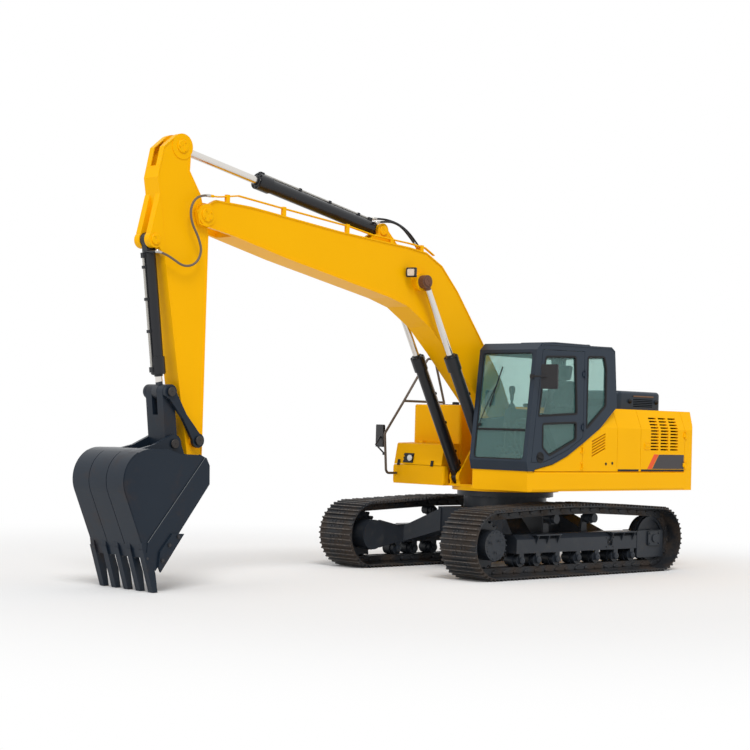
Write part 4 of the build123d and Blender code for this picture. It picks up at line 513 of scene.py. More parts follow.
def rounded(outline, radius, steps=5):
    """An outline with eased corners: each is a curve from radius before it to radius after it, its points
    weighted (1-t) squared, 2t(1-t) and t squared."""
    outline = np.array(outline, float)
    back, on = np.roll(outline, 1, 0) - outline, np.roll(outline, -1, 0) - outline
    start = outline + radius * back / np.linalg.norm(back, axis=1, keepdims=True)
    end = outline + radius * on / np.linalg.norm(on, axis=1, keepdims=True)
    t = np.linspace(0, 1, steps)[None, :, None]
    curve = (1 - t) ** 2 * start[:, None] + 2 * t * (1 - t) * outline[:, None] + t**2 * end[:, None]
    return curve.reshape(-1, outline.shape[1])


def corners_round(x, y, z, dx, dz):
    """Four places round one, dx and dz from it."""
    return [(x + along, y, z + rise) for along in (-dx, dx) for rise in (-dz, dz)]


VALVE_X, VALVE_Z, VALVE_FACE, COVER_FACE = -0.745, 0.41, 1.195, 1.225
YOKE_HALF, BLOCK_THICK = 0.130, 0.024
valve = turned([(0.020, 0), (0.020, 0.010), (0.012, 0.012), (0.012, 0.022), (0.006, 0.030)], 12)
block = slab(oblong(0.26, 0.20, 0.03), 0, BLOCK_THICK, 0.004, "XY")
axle_end = turned([(0.055, 0), (0.055, 0.012), (0.048, 0.018), (0.01, 0.018)], 24)
block_bolt = (BOLT[0] * 1.3, BOLT[1])
adjusters = paired(valve, (VALVE_X, VALVE_FACE, VALVE_Z))
adjusters += paired(BOLT, corners_round(VALVE_X, COVER_FACE, VALVE_Z, 0.072, 0.06))
blocks = []
for way in (1, -1):
    face, out = TRACK_Y + way * YOKE_HALF, (0, way, 0)
    top = face + way * BLOCK_THICK
    blocks += paired(block, (-AXLE_X, face, AXLE_Z), out, (1, 0, 0))
    blocks += paired(axle_end, (-AXLE_X, top, AXLE_Z), out)
    blocks += paired(block_bolt, corners_round(-AXLE_X, top, AXLE_Z, 0.1, 0.07), out)
piece("adjuster_valves", adjusters, bolt_steel, "undercarriage", 30)
piece("idler_bearing_blocks", blocks, slate_paint, "undercarriage")

# Hoses come before the rest of the upper parts. Each is rubber over wire braid, 27 mm thick, with a pressed
# steel sleeve at both ends. The arm cylinder's two lie on the boom, and a third loops beside the arm's pivot.
hose_black = hardware("hose_black", "hose_rubber", (0.010, 0.010, 0.012), roughness=0.55)
hose_brown = hardware("hose_brown", "hose_rubber", (0.15, 0.115, 0.085), roughness=0.6)
zinc_plate = hardware("zinc_plate", "cylinder_black", (0.52, 0.50, 0.46), metallic=0.9, roughness=0.34)
HOSE = 0.0135
crimps = [(0.0142, 0), (0.0172, 0.003), (0.0172, 0.017), (0.0160, 0.020), (0.0172, 0.023), (0.0172, 0.050)]
SLEEVE = turned([*crimps, (0.0130, 0.056), (0.0130, 0.066)])


def route_line(corners, y):
    """Points along a NURBS curve of order 3 whose control points are a hose's corners, as Blender has it."""
    curve = bpy.data.curves.new("route", "CURVE")
    curve.dimensions, curve.resolution_u = "3D", 10
    spline = curve.splines.new("NURBS")
    spline.points.add(len(corners) - 1)
    for point, (x, z) in zip(spline.points, corners):
        point.co = (x, y, z, 1)
    spline.order_u, spline.use_endpoint_u = 3, True
    holder = bpy.data.objects.new("route", curve)
    line = bpy.data.meshes.new_from_object(holder)
    return np.array([vertex.co for vertex in line.vertices])


def swept(route, radius, sides=10):
    """A tube: at each point of its route, a circle across the heading there. The circle's first direction
    is Y less its share along the heading, and its second is their cross product."""
    route = np.array(route, float)
    heading = np.gradient(route, axis=0)
    heading /= np.linalg.norm(heading, axis=1, keepdims=True)
    first = (0.0, 1.0, 0.0) - heading * heading[:, 1:2]
    first /= np.linalg.norm(first, axis=1, keepdims=True)
    second = np.cross(heading, first)
    angle = (np.arange(sides) * 2 * np.pi / sides)[None, :, None]
    rings = route[:, None] + radius * (np.cos(angle) * first[:, None] + np.sin(angle) * second[:, None])
    return rings.reshape(-1, 3), ring_walls(len(route), sides)


# Corners go from the boom's end to the far end, which is the boom's too unless a far body is named
SIDE_HOSE = ((1.99, 4.189), (2.115, 4.30), (2.25, 4.40), (2.40, 4.446), (2.56, 4.44), (2.702, 4.414))
MIDDLE_HOSE = (
    (1.795, 4.155), (1.915, 4.268), (2.045, 4.37), (2.195, 4.44),
    (2.36, 4.476), (2.525, 4.484), (2.664, 4.471),
)
NOSE_HOSE = (
    (5.44, 4.437), (5.605, 4.437), (5.722, 4.285), (5.70, 4.11), (5.59, 3.95), (5.535, 3.79),
    (5.62, 3.64), (5.79, 3.60), (5.95, 3.68), (6.075, 3.728), (6.165, 3.742),
)
# Columns: hose, place along Y, finish, far body, lay, corners
for name, y, finish, far_body, lay, corners in (
    ("arm_hose_side", 0.125, hose_black, None, "loose", SIDE_HOSE),
    ("arm_hose_middle", 0.030, hose_black, None, "loose", MIDDLE_HOSE),
    ("nose_hose", 0.216, hose_brown, "arm", "hanging", NOSE_HOSE),
):
    line = route_line(corners, y)
    hose = piece(f"{name}_tube", [swept(line, HOSE, 12)], finish, None if far_body else "boom", 60)
    sleeves = [
        piece(f"{name}_sleeve_{end}", [stood(SLEEVE, spot, way)], zinc_plate, body)
        for end, spot, way, body in (
            ("boom", line[0], line[1] - line[0], "boom"),
            ("far", line[-1], line[-2] - line[-1], far_body or "boom"),
        )
    ]
    if far_body:
        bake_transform(hose)
    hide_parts(name)

# Yellow sheet steel and castings: the body, boom and arm share one sprayed enamel, slightly warmer in
# broad patches, with a film of dust on level tops and orange peel too fine to see from afar.
yellow_enamel = Finish(
    "yellow_enamel", "yellow_paint", (0.93, 0.45, 0.001),
    gloss=0.05, roughness=0.34, coat_weight=0.02, coat_roughness=0.18,
)
film = yellow_enamel.dust_film(5, 0.3, 0.5)
sprayed = yellow_enamel.blend(yellow_enamel.noise(0.8, 3), (0.95, 0.475, 0.001), (0.90, 0.43, 0.0005))
enamel_colour = yellow_enamel.blend(film, sprayed, (0.62, 0.43, 0.18))
enamel_rough = 0.30 + 0.08 * yellow_enamel.noise(12) + 0.4 * film
yellow_enamel.look(base_color=enamel_colour, roughness=enamel_rough)
yellow_enamel.relief(yellow_enamel.noise(260, 1), 0.0004, 0.15)
coat(yellow_enamel, "house_frame", "counterweight", "body_panels", "grille_door", "pump_door")
coat(yellow_enamel, "service_door", "side_panel", "fuel_tank", "tool_box", "tool_box_lid", "boom", "arm")
coat(yellow_enamel, "boom_pipes", "arm_cylinder_ears", "bucket_cylinder_ears")

# Body's left side: dark strips along the skirt and two round locks in the service door.
# The strips are painted shade in the slots under the panels' lower edges, and the locks are turned flush with
# a sunk middle.
SIDE = 1.355
trim_rubber = hardware("trim_rubber", "mirror_housing", (0.009, 0.009, 0.010), roughness=0.65)
for name, body, x_rear, x_front in (
    ("panel_slot_shade", "house", -1.159, -0.705),
    ("grille_slot_shade", "grille_door", -2.19, -1.214),
):
    # Painted shade: each strip is a dark sheet in the black rubber finish, put in the slot under a panel
    # where there is only shade.
    strip = slab(rectangle((x_rear, 1.360), (x_front, 1.386)), SIDE - 0.001, SIDE + 0.004, 0.0015)
    piece(name, [strip], trim_rubber, body, 30)
LOCK = turned([(0.019, 0), (0.019, 0.004), (0.015, 0.007), (0.007, 0.007), (0.005, 0.003)], 20)
locks = stood(LOCK, [(-0.449, SIDE, 1.457), (-0.585, SIDE, 1.466)], (0, 1, 0))
piece("service_locks", [locks], trim_rubber, "service_door")


# Flush latches of the grille door and the pump door: a rimmed tray with its paddle across the middle and
# a key barrel under it, pressed and enamelled with the door.
def pull_latch(x, z, hand):
    """A latch on the side that hand names, its parts stood on the door's face."""
    edge, out = oblong(0.13, 0.09, 0.018), (0, hand, 0)
    parts = [
        (slab(edge, 0, 0.006, 0.002, "XY"), 0),
        (framed(edge, [(0.0, 0.004), (0.001, 0.009), (0.007, 0.009), (0.008, 0.004)], "XY"), 0),
        (slab(oblong(0.085, 0.034, 0.010), 0.005, 0.013, 0.003, "XY"), 0.008),
    ]
    plates = [stood(part, (x, hand * SIDE, z + lift), out, (1, 0, 0)) for part, lift in parts]
    barrel = stood((LOCK[0] * 0.55, LOCK[1]), (x, hand * (SIDE + 0.005), z - 0.030), out)
    return [*plates, barrel]


piece("grille_latch", pull_latch(-1.34, 1.699, 1), yellow_enamel, "grille_door")
piece("pump_latch", pull_latch(-0.84, 1.62, -1), yellow_enamel, "pump_door")

# Stripe and field at the grille door's foot: two sheets of film, orange and dark grey, with slanting ends.
# They are 0.8 mm thick and lie on the enamel.
orange_film = hardware("orange_film", "yellow_paint", (0.78, 0.085, 0.012), roughness=0.4)
grey_film = hardware("grey_film", "dark_paint", (0.045, 0.040, 0.042), roughness=0.4)
FILM_THICK = 0.0008
stripe_edge = [(-1.352, 1.392), (-1.503, 1.593), (-1.606, 1.588), (-1.454, 1.392)]
field_edge = [(-1.462, 1.392), (-1.614, 1.588), (-2.188, 1.588), (-2.188, 1.392)]
piece("orange_stripe", [slab(stripe_edge, SIDE, SIDE + FILM_THICK)], orange_film, "grille_door", 20)
piece("grey_field", [slab(field_edge, SIDE, SIDE + FILM_THICK)], grey_film, "grille_door", 20)

# Cooler behind the grille: brazed aluminium fins browned by dust, in rows between their tubes.
# The rows are bands of colour on the CAD block; the dark end of each band is painted shade between the rows.
cooler_fins = Finish("cooler_fins", None, (0.30, 0.14, 0.03), roughness=0.7)
# Painted shade: the darker colour of the bands stands in for the shade in the gaps between fin rows.
fin_colour = cooler_fins.blend(cooler_fins.bands("X", 28.0), (0.10, 0.045, 0.012), (0.42, 0.19, 0.035))
cooler_fins.look(base_color=fin_colour)
coat(cooler_fins, "cooler")

# Tread plates: studded steel sheets to walk on, screwed to the tank's top and behind the cab.
# The filler's rubber cap and the tank's sight gauge stand beside them.
BODY_TOP, TREAD_THICK, STUD_PITCH, STUD_MARGIN = 2.190, 0.004, 0.05, 0.03
STUD = turned([(0.011, 0), (0.009, 0.004), (0.004, 0.005)], 6)
tread_steel = hardware("tread_steel", "dark_paint", (0.050, 0.052, 0.056), metallic=0.3, roughness=0.55)


def tread(low, high):
    """A plate with rows of studs, every second row set half a step along."""
    columns, rows = ((np.array(high) - low) / STUD_PITCH).astype(int)
    row, column = np.meshgrid(np.arange(rows), np.arange(columns))
    x = low[0] + STUD_MARGIN + STUD_PITCH * (column + 0.5 * (row % 2)).ravel()
    y = low[1] + STUD_MARGIN + STUD_PITCH * row.ravel()
    inside = x < high[0] - 0.012
    places = np.column_stack([x, y, np.full(len(x), BODY_TOP + TREAD_THICK)])[inside]
    return [slab(rectangle(low, high), BODY_TOP, BODY_TOP + TREAD_THICK, 0.001, "XY"), stood(STUD, places)]


treads = tread((-0.56, -1.18), (0.36, -0.56)) + tread((-1.14, -0.60), (-0.74, 0.90))
piece("tread_plates", treads, tread_steel, "house", 30)
cap_profile = [(0.062, 0), (0.062, 0.010), (0.050, 0.014), (0.050, 0.045), (0.044, 0.052), (0.010, 0.054)]
piece("filler_cap", [stood(turned(cap_profile, 28), (-0.30, -1.235, BODY_TOP))], trim_rubber, "house")
gauge = slab(oblong(0.04, 0.34, 0.018) + (0.30, 1.80), -1.346, -1.340, 0.002)
piece("tank_gauge", [gauge], grey_film, "house", 30)

# Tail lamps on the counterweight's back: red lenses in black rubber trays, one on each side. They stand
# square to the casting's curve, an arc round the swing axis.
lamp_red = Finish("lamp_red", "mirror_housing", (0.55, 0.012, 0.010), roughness=0.15, coat_weight=0.6)
lamp_red.relief(lamp_red.noise(220, 1), 0.0006, 0.4)
TAIL_RADIUS, TAIL_LAMP_Y, TAIL_LAMP_Z = 2.75, 0.86, 1.50
lamp_x = -np.sqrt(TAIL_RADIUS**2 - TAIL_LAMP_Y**2)
lamp_shapes = {
    "trays": (slab(oblong(0.20, 0.085, 0.02), -0.004, 0.014, 0.004, "XY"), trim_rubber),
    "lenses": (slab(oblong(0.17, 0.058, 0.015), 0.010, 0.020, 0.005, "XY"), lamp_red),
}
for name, (shape, finish) in lamp_shapes.items():
    pair = []
    for y in (-TAIL_LAMP_Y, TAIL_LAMP_Y):
        pair.append(stood(shape, (lamp_x, y, TAIL_LAMP_Z), (lamp_x, y, 0), (-y, lamp_x, 0)))
    piece(f"tail_lamp_{name}", pair, finish, "house")

# Charcoal enamel: the cab's frame and door and the hood over the engine, a blue-grey satin. It is paler
# in broad drifts and dusty on level tops.
charcoal_enamel = Finish(
    "charcoal_enamel", "dark_paint", (0.014, 0.024, 0.039),
    gloss=0.18, roughness=0.36, coat_weight=0.12, coat_roughness=0.2,
)
drift, film = charcoal_enamel.noise(1.4, 4), charcoal_enamel.dust_film(6, 0.35, 0.4)
satin = charcoal_enamel.blend(drift, (0.013, 0.022, 0.036), (0.019, 0.031, 0.048))
dusty_satin = charcoal_enamel.blend(film, satin, (0.10, 0.10, 0.10))
charcoal_enamel.look(base_color=dusty_satin, roughness=0.32 + 0.1 * drift + 0.4 * film)
charcoal_enamel.relief(charcoal_enamel.noise(240, 1), 0.0004, 0.15)
coat(charcoal_enamel, "cab_frame", "cab_door", "engine_hood", "engine", "swing_drive")

# Hood: its louvred side has a brown deflector strip along the top, and two rubber-capped turn locks
# hold it down.
HOOD_SIDE = 0.950
brown_enamel = hardware("brown_enamel", "rail_paint", (0.16, 0.085, 0.045), roughness=0.5)
strip = slab(rectangle((-1.99, 2.372), (-1.535, 2.390)), HOOD_SIDE, HOOD_SIDE + 0.012, 0.002)
piece("hood_strip", [strip], brown_enamel, "engine_hood", 30)
knob = [(0.032, 0), (0.034, 0.006), (0.028, 0.012), (0.024, 0.030), (0.018, 0.036), (0.004, 0.037)]
knob_pair = stood(turned(knob, 24), [(-1.46, HOOD_SIDE, 2.31), (-2.06, HOOD_SIDE, 2.31)], (0, 1, 0))
piece("hood_knobs", [knob_pair], trim_rubber, "engine_hood")

# Cab's seals: black rubber pressed over the edge of each opening, down to the glass. The windscreen's
# carries a split bar where its lower pane begins.
OUT, IN = 1.370, 0.400
CAB_MID = (OUT + IN) / 2
DOOR_LIGHTS = (
    ((0.838, 2.813), (0.246, 2.840), (0.197, 2.102), (0.960, 2.058)),
    ((0.872, 1.960), (0.205, 1.990), (0.205, 1.770), (0.730, 1.560), (0.868, 1.660)),
)
REAR_LIGHT = ((-0.010, 2.850), (-0.350, 2.862), (-0.397, 2.709), (-0.400, 2.220), (-0.010, 1.915))
RIGHT_LIGHT = ((1.040, 2.0), (0.960, 2.850), (-0.440, 2.850), (-0.490, 2.260), (-0.300, 2.1), (0.900, 2.0))
SCREEN_X, SCREEN_Z, LEAN = 1.155, 1.48, 0.107


def seal(light, face, way, deep=0.019):
    """A seal's section: a lip over the wall outside the light's edge, and a tongue inside it to the glass."""
    lip = [(-0.014, 0), (-0.012, 0.0045), (0.010, 0.0045)]
    tongue = [(0.015, -deep), (0.0005, -deep), (0.0005, 0)]
    return framed(rounded(light, 0.03), [(draw, face + way * level) for draw, level in lip + tongue])


def leaned(shape):
    """A shape drawn at X = 0 moved onto the windscreen, which leans back by LEAN for each metre up."""
    points, faces = shape
    ahead_by = SCREEN_X - LEAN * (points[:, 2] - SCREEN_Z)
    return points + np.column_stack([ahead_by, 0 * ahead_by, 0 * ahead_by]), faces


piece("door_seals", [seal(light, OUT, 1) for light in DOOR_LIGHTS], trim_rubber, "cab_door")
piece("cab_side_seals", [seal(REAR_LIGHT, OUT, 1), seal(RIGHT_LIGHT, IN, -1, 0.017)], trim_rubber, "house")
screen = oblong(0.840, 1.360, 0.05) + (CAB_MID, 2.18)
screen_section = [(-0.014, 0.004), (-0.012, 0.010), (0.010, 0.010), (0.015, 0.001), (0.0005, 0.0005)]
split = slab(rectangle((0.49, 1.862), (1.28, 1.890)), 0.001, 0.016, 0.004, "YZ")
screen_parts = [leaned(framed(screen, screen_section, "YZ")), leaned(split)]
piece("screen_seal", screen_parts, trim_rubber, "house")
back_light = oblong(0.790, 0.540, 0.05) + (CAB_MID, 2.59)
back_section = [(-0.014, -0.575), (-0.014, -0.625), (-0.004, -0.632)]
back_section += [(0.012, -0.600), (0.012, -0.571), (0.0005, -0.571)]
piece("rear_window_seal", [framed(back_light, back_section, "YZ")], trim_rubber, "house")

# Wiper on the windscreen: a steel arm, its blade and the geared foot they swing on, all in black. The
# door's handle is a paddle set slanting in a round dish.
wiper_arm = swept([(0.030, 0.52, 1.93), (0.034, 0.60, 2.13), (0.030, 0.74, 2.42)], 0.006, 8)
wiper_blade = swept([(0.016, 0.66, 2.16), (0.018, 0.74, 2.42), (0.016, 0.82, 2.68)], 0.008, 8)
wiper_foot = turned([(0.020, 0), (0.020, 0.02), (0.014, 0.028), (0.004, 0.03)])
wiper_foot = stood(wiper_foot, (0.006, 0.52, 1.93), (1, 0, 0.1))
piece("wiper", [leaned(part) for part in (wiper_arm, wiper_blade, wiper_foot)], trim_rubber, "house", 40)
dish = turned([(0.071, 0), (0.071, 0.004), (0.064, 0.008), (0.056, 0.004), (0.004, 0.002)], 32)
handle = slab(oblong(0.115, 0.034, 0.012), 0.006, 0.020, 0.004, "XY")
dish = stood(dish, (0.91, OUT, 1.533), (0, 1, 0))
handle = stood(handle, (0.91, OUT, 1.535), (0, 1, 0), (1, 0, 0.25))
piece("door_handle", [dish, handle], trim_rubber, "cab_door")


# Roof hatch: a pressed lid on two hinges, closed on the cab's roof. A rain gutter of bent tube runs
# along the roof's edge over the door.
def bent(corners, radius, steps=6):
    """An open path with eased corners: the closed outline's curves, less the two at the ends."""
    return np.concatenate([[corners[0]], rounded(corners, radius, steps)[steps:-steps], [corners[-1]]])


hatch = slab(oblong(0.78, 0.62, 0.07) + (0.08, CAB_MID), 2.985, 3.022, 0.010, "XY")
hinges = [slab(oblong(0.05, 0.10, 0.01) + (-0.33, y), 2.99, 3.03, 0.004, "XY") for y in (0.70, 1.07)]
gutter_route = np.array([(0.94, 2.955), (0.90, 2.972), (-0.49, 2.984), (-0.555, 2.945)])
gutter = swept(bent(in_3d(gutter_route, OUT - 0.004), 0.02), 0.012, 8)
piece("roof_hatch", [hatch, *hinges, gutter], charcoal_enamel, "house")

# Safety glass, tinted green and a little misted: it lets lamps through, so that the seat and levers behind
# it are lit. Its reflection grows with the fifth power of how far it is seen edge on.
tinted_glass = Finish("tinted_glass", None, (0.35, 0.6, 0.55), roughness=0.02)
pane = tinted_glass.node("BsdfTransparent", {}, {"Color": (0.84, 0.92, 0.90, 1)})
haze = tinted_glass.node("BsdfDiffuse", {}, {"Color": (0.19, 0.42, 0.40, 1)})
shine = tinted_glass.node("BsdfGlossy", {}, {"Color": (0.85, 0.95, 0.93, 1), "Roughness": 0.03})
edge_on = tinted_glass.node("LayerWeight", {}, {"Blend": 0.5}, out="Facing")
glazing = tinted_glass.mixed(0.035 + 0.6 * edge_on**5, tinted_glass.mixed(0.13, pane, haze), shine)
tinted_glass.set(tinted_glass.output, {"Surface": glazing})
coat(tinted_glass, "cab_glass", "door_glass")

# Mirrors: moulded shells with silvered glass in a rubber rim, turned toward the seat by 18 degrees.
# The left one is on the cab's front pillar, and the right one on the handrail.
silvered = hardware("silvered_glass", "mirror_housing", (0.75, 0.78, 0.80), metallic=1.0, roughness=0.04)
mirror_shell = hardware("mirror_shell", "mirror_housing", (0.014, 0.014, 0.016), roughness=0.5)
coat(mirror_shell, "mirror_left", "mirror_right", "boom_lamp", "lid_lamp")
MIRROR_TURN, MIRROR_Y = np.radians(18), 1.558
glass = slab(oblong(0.278, 0.188, 0.02), 0, 0.003, 0.001, "XY")
rim = framed(oblong(0.302, 0.212, 0.026), [(0, 0), (0.002, 0.008), (0.012, 0.008), (0.014, 0)], "XY")
for name, x, z, hand in (("left", 0.985, 2.555, 1), ("right", 0.870, 1.740, -1)):
    sight = np.array([-np.cos(MIRROR_TURN), -hand * np.sin(MIRROR_TURN), 0])
    spot = np.array([x, hand * MIRROR_Y, z]) + 0.0145 * sight
    piece(f"mirror_glass_{name}", [stood(glass, spot, sight, (0, 0, 1))], silvered, "house", 30)
    piece(f"mirror_rim_{name}", [stood(rim, spot, sight, (0, 0, 1))], mirror_shell, "house")

# Handrail: bent steel tube in brown enamel, from the tool box up and over to the top of the tank.
# It needs no fitting of its own.
rail_paint = hardware("rail_paint", None, (0.11, 0.085, 0.065), roughness=0.45)
coat(rail_paint, "handrail")

# Boom lamp: a square lamp turned outward on the boom's side, with a ribbed lens in a moulded bezel.
# The lamp shines 25 degrees off the boom's line.
lamp_glass = Finish("lamp_glass", "mirror_housing", (0.62, 0.52, 0.40), roughness=0.12, coat_weight=0.8)
lamp_glass.relief(lamp_glass.bands("Z", 30.0), 0.002, 0.5)
LAMP_TURN = np.radians(25)
beam = np.array([np.cos(LAMP_TURN), np.sin(LAMP_TURN), 0])
lamp_spot = np.array([2.190, 0.262, 3.825]) + 0.030 * beam
lens = slab(oblong(0.092, 0.098, 0.02), 0, 0.006, 0.003, "XY")
bezel = framed(oblong(0.116, 0.121, 0.022), [(0, -0.01), (0, 0.012), (0.010, 0.012), (0.014, 0)], "XY")
piece("boom_lamp_lens", [stood(lens, lamp_spot, beam, (0, 0, 1))], lamp_glass, "boom")
piece("boom_lamp_bezel", [stood(bezel, lamp_spot, beam, (0, 0, 1))], mirror_shell, "boom")

# Tool box lid: a round lamp looks out behind the lid's bars, and two rubber latches hold the lid's
# front edge down.
pale_lens = hardware("pale_lens", "mirror_housing", (0.70, 0.70, 0.68), roughness=0.15, coat_weight=0.8)
eye = turned([(0.0425, -0.012), (0.0425, 0.003), (0.034, 0.008), (0.016, 0.011), (0.002, 0.012)], 28)
piece("lid_lamp_lens", [stood(eye, (0.8135, -1.035, 1.45), (1, 0, 0))], pale_lens, "tool_box_lid")
latch = slab(oblong(0.05, 0.08, 0.01), 0, 0.012, 0.004, "XY")
latches = stood(latch, [(0.798, y, 1.385) for y in (-0.62, -1.25)], (1, 0, 0.2), (0, 1, 0))
piece("lid_latches", [latches], trim_rubber, "tool_box_lid")

# Cab's inside: consoles with gaitered joysticks, travel levers with pedals, and a display on the pillar.
# All are moulded in one grained plastic.
console_plastic = Finish("console_plastic", "console_plastic", (0.035, 0.037, 0.04), roughness=0.6)
console_plastic.relief(console_plastic.noise(700, 1), 0.0006, 0.3)
coat(console_plastic, "consoles")
JOYSTICK_X, JOYSTICK_OFF, PEDAL_OFF, PEDAL_HALF = 0.54, 0.335, 0.09, 0.045
folds = [(0.055, 0), (0.058, 0.012), (0.046, 0.022), (0.052, 0.034), (0.038, 0.044), (0.043, 0.056)]
gaiter = turned([*folds, (0.028, 0.066), (0.016, 0.085)], 20)
stick = [(0.015, -0.14), (0.024, -0.11), (0.027, -0.04), (0.036, -0.02), (0.0405, 0.0), (0.043, 0.03)]
grip = turned([*stick, (0.035, 0.060), (0.012, 0.070)], 20)
travel_lever = turned([(0.013, 0), (0.022, 0.01), (0.024, 0.07), (0.018, 0.10), (0.004, 0.105)])
pedal_side = [(0.905, 1.575), (1.045, 1.650), (1.045, 1.662), (0.905, 1.587)]
inside = []
for hand in (1, -1):
    joystick_y, pedal_y = CAB_MID + hand * JOYSTICK_OFF, CAB_MID + hand * PEDAL_OFF
    inside.append(stood(gaiter, (JOYSTICK_X, joystick_y, 2.145)))
    inside.append(stood(grip, (JOYSTICK_X, joystick_y, 2.38)))
    inside.append(stood(travel_lever, (0.945, pedal_y, 1.86)))
    inside.append(slab(pedal_side, pedal_y - PEDAL_HALF, pedal_y + PEDAL_HALF, 0.003))
inside.append(slab(oblong(0.15, 0.20, 0.02) + (0.58, 2.28), 0.985, 1.020, 0.006, "YZ"))
piece("levers_and_display", inside, console_plastic, "house", 40)

# Seat: woven cloth over moulded foam, on a sprung pedestal. Each cushion is blown up in a short cloth
# simulation and then smoothed.
seat_cloth = Finish("seat_cloth", "seat_fabric", (0.03, 0.031, 0.034), roughness=0.85, sheen_weight=0.3)
weave = seat_cloth.noise(420, 2, 0.5)
thread = seat_cloth.between(weave, 0.4, 0.6)
cloth_colour = seat_cloth.blend(thread, (0.022, 0.023, 0.026), (0.045, 0.047, 0.052))
seat_cloth.look(base_color=cloth_colour)
seat_cloth.relief(weave, 0.001, 0.3)


def squared(wave, power):
    """A sine or cosine raised to a small power with its sign kept, which squares the circle it draws."""
    return np.sign(wave) * np.abs(wave) ** power


def pillow(long, wide, thick, channels):
    """A squared ball: each axis is the sine or cosine of two angles raised to a small power, so its sides are
    nearly flat. Channels across it sink the top by a narrow bell curve."""
    rise, turn = np.linspace(-np.pi / 2 + 0.02, np.pi / 2 - 0.02, 17), np.arange(40) * 2 * np.pi / 40
    u, v = np.meshgrid(rise, turn, indexing="ij")
    x = 0.5 * long * squared(np.cos(u), 0.45) * squared(np.cos(v), 0.28)
    y = 0.5 * wide * squared(np.cos(u), 0.45) * squared(np.sin(v), 0.28)
    z = 0.5 * thick * squared(np.sin(u), 0.75)
    for place in channels:
        z = z - 0.012 * (z > 0) * np.exp(-(((x - place) / 0.012) ** 2))
    return np.stack([x, y, z], -1).reshape(-1, 3), ring_walls(len(rise), len(turn))


def blown(made, most):
    """Blows a closed cushion up: cloth under even pressure for 20 frames, with no point moved further than
    most, and one subdivision after it."""
    with bpy.context.temp_override(active_object=made, object=made, selected_objects=[made]):
        bpy.context.view_layer.objects.active = made
        made.data.remesh_voxel_size = 0.010
        bpy.ops.object.voxel_remesh()
    start = np.array([vertex.co for vertex in made.data.vertices])
    cloth = made.modifiers.new("foam", "CLOTH")
    cloth.settings.use_pressure = True
    cloth.settings.uniform_pressure_force = 4
    cloth.settings.effector_weights.gravity = 0
    for step in range(1, 21):
        bpy.context.scene.frame_set(step)
    pressed = made.evaluated_get(bpy.context.evaluated_depsgraph_get())
    moved = np.array([vertex.co for vertex in pressed.data.vertices]) - start
    far = np.maximum(np.linalg.norm(moved, axis=1, keepdims=True), 1e-9)
    made.modifiers.remove(cloth)
    bpy.context.scene.frame_set(1)
    made.data.vertices.foreach_set("co", (start + moved * np.minimum(1, most / far)).ravel())
    made.data.shade_smooth()
    smooth = made.modifiers.new("smooth", "SUBSURF")
    smooth.levels = smooth.render_levels = 1


# Columns: cushion, length, width, thickness, middle along X and Z, lean in degrees, side that its channels
# and crown face, channels
for name, long, wide, thick, x, z, lean, crown, channels in (
    ("seat_cushion", 0.56, 0.48, 0.12, 0.345, 1.955, 4, 1, (-0.12, 0.06)),
    ("seat_back", 0.56, 0.46, 0.12, -0.030, 2.275, 104.5, -1, (-0.10, 0.08)),
    ("head_rest", 0.20, 0.25, 0.085, -0.110, 2.645, 104.5, -1, ()),
):
    points, faces = pillow(long, wide, thick, channels)
    rise, run = np.sin(np.radians(lean)), np.cos(np.radians(lean))
    turn = np.array([(run, 0, rise), (0, 1, 0), (-crown * rise, 0, crown * run)])
    cushion = piece(name, [(points @ turn + (x, CAB_MID, z), faces)], seat_cloth, "house", 60)
    blown(cushion, 0.012)
    if name == "seat_cushion":
        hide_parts("seat")

# Seat's pedestal: a pressed bracket down to the floor, four folds of a rubber bellows over its springs, two
# arm rests and the head rest's posts.
bracket_side = [(0.56, 1.895), (0.56, 1.545), (0.38, 1.616), (0.12, 1.755), (0.06, 1.895)]
seat_parts = [slab(bracket_side, CAB_MID - 0.17, CAB_MID + 0.17, 0.01)]
for z in (1.79, 1.815, 1.84, 1.865):
    fold = [(0.0, z), (-0.012, z + 0.012), (0, z + 0.024), (0.02, z + 0.012)]
    seat_parts.append(framed(oblong(0.46, 0.36, 0.05) + (0.31, CAB_MID), fold, "XY"))
for hand in (1, -1):
    rest_y, post_y = CAB_MID + hand * 0.285, CAB_MID + hand * 0.06
    seat_parts.append(slab(oblong(0.30, 0.05, 0.02) + (0.20, 2.20), rest_y - 0.03, rest_y + 0.03, 0.012))
    seat_parts.append(swept([(-0.075, post_y, 2.50), (-0.095, post_y, 2.58)], 0.007, 8))
piece("seat_pedestal", seat_parts, console_plastic, "house", 40)

# Welds along the boom's and arm's webs: a bead in the corner between the web and each flange. The edges
# are the side outlines that the plates are cut to.
BOOM_EDGE = (
    (-0.020, 1.815), (0.330, 2.500), (1.246, 3.650), (1.552, 3.960), (1.850, 4.110), (2.150, 4.150),
    (3.370, 4.235), (4.803, 4.385), (5.330, 4.405), (5.600, 4.250), (5.560, 4.105), (5.139, 4.035),
    (4.227, 3.828), (2.500, 3.490), (2.162, 3.395), (1.760, 3.160), (1.410, 2.850), (0.783, 2.250),
    (0.300, 1.700),
)
ARM_EDGE = (
    (5.660, 5.000), (5.690, 5.080), (5.880, 5.080), (6.050, 4.935), (6.125, 4.585), (6.050, 4.155),
    (5.986, 3.676), (5.560, 1.296), (5.378, 1.330), (5.378, 4.001), (5.506, 4.447), (5.672, 4.700),
)
for name, edge, plate, web in (("boom", BOOM_EDGE, 0.0137, 0.178), ("arm", ARM_EDGE, 0.0117, 0.120)):
    bead = [(plate, -0.001), (plate, 0.007), (plate + 0.004, 0.0055), (plate + 0.009, -0.001)]
    beads = [framed(edge, [(draw, hand * (web + level)) for draw, level in bead]) for hand in (1, -1)]
    piece(f"{name}_welds", beads, yellow_enamel, name, 30)

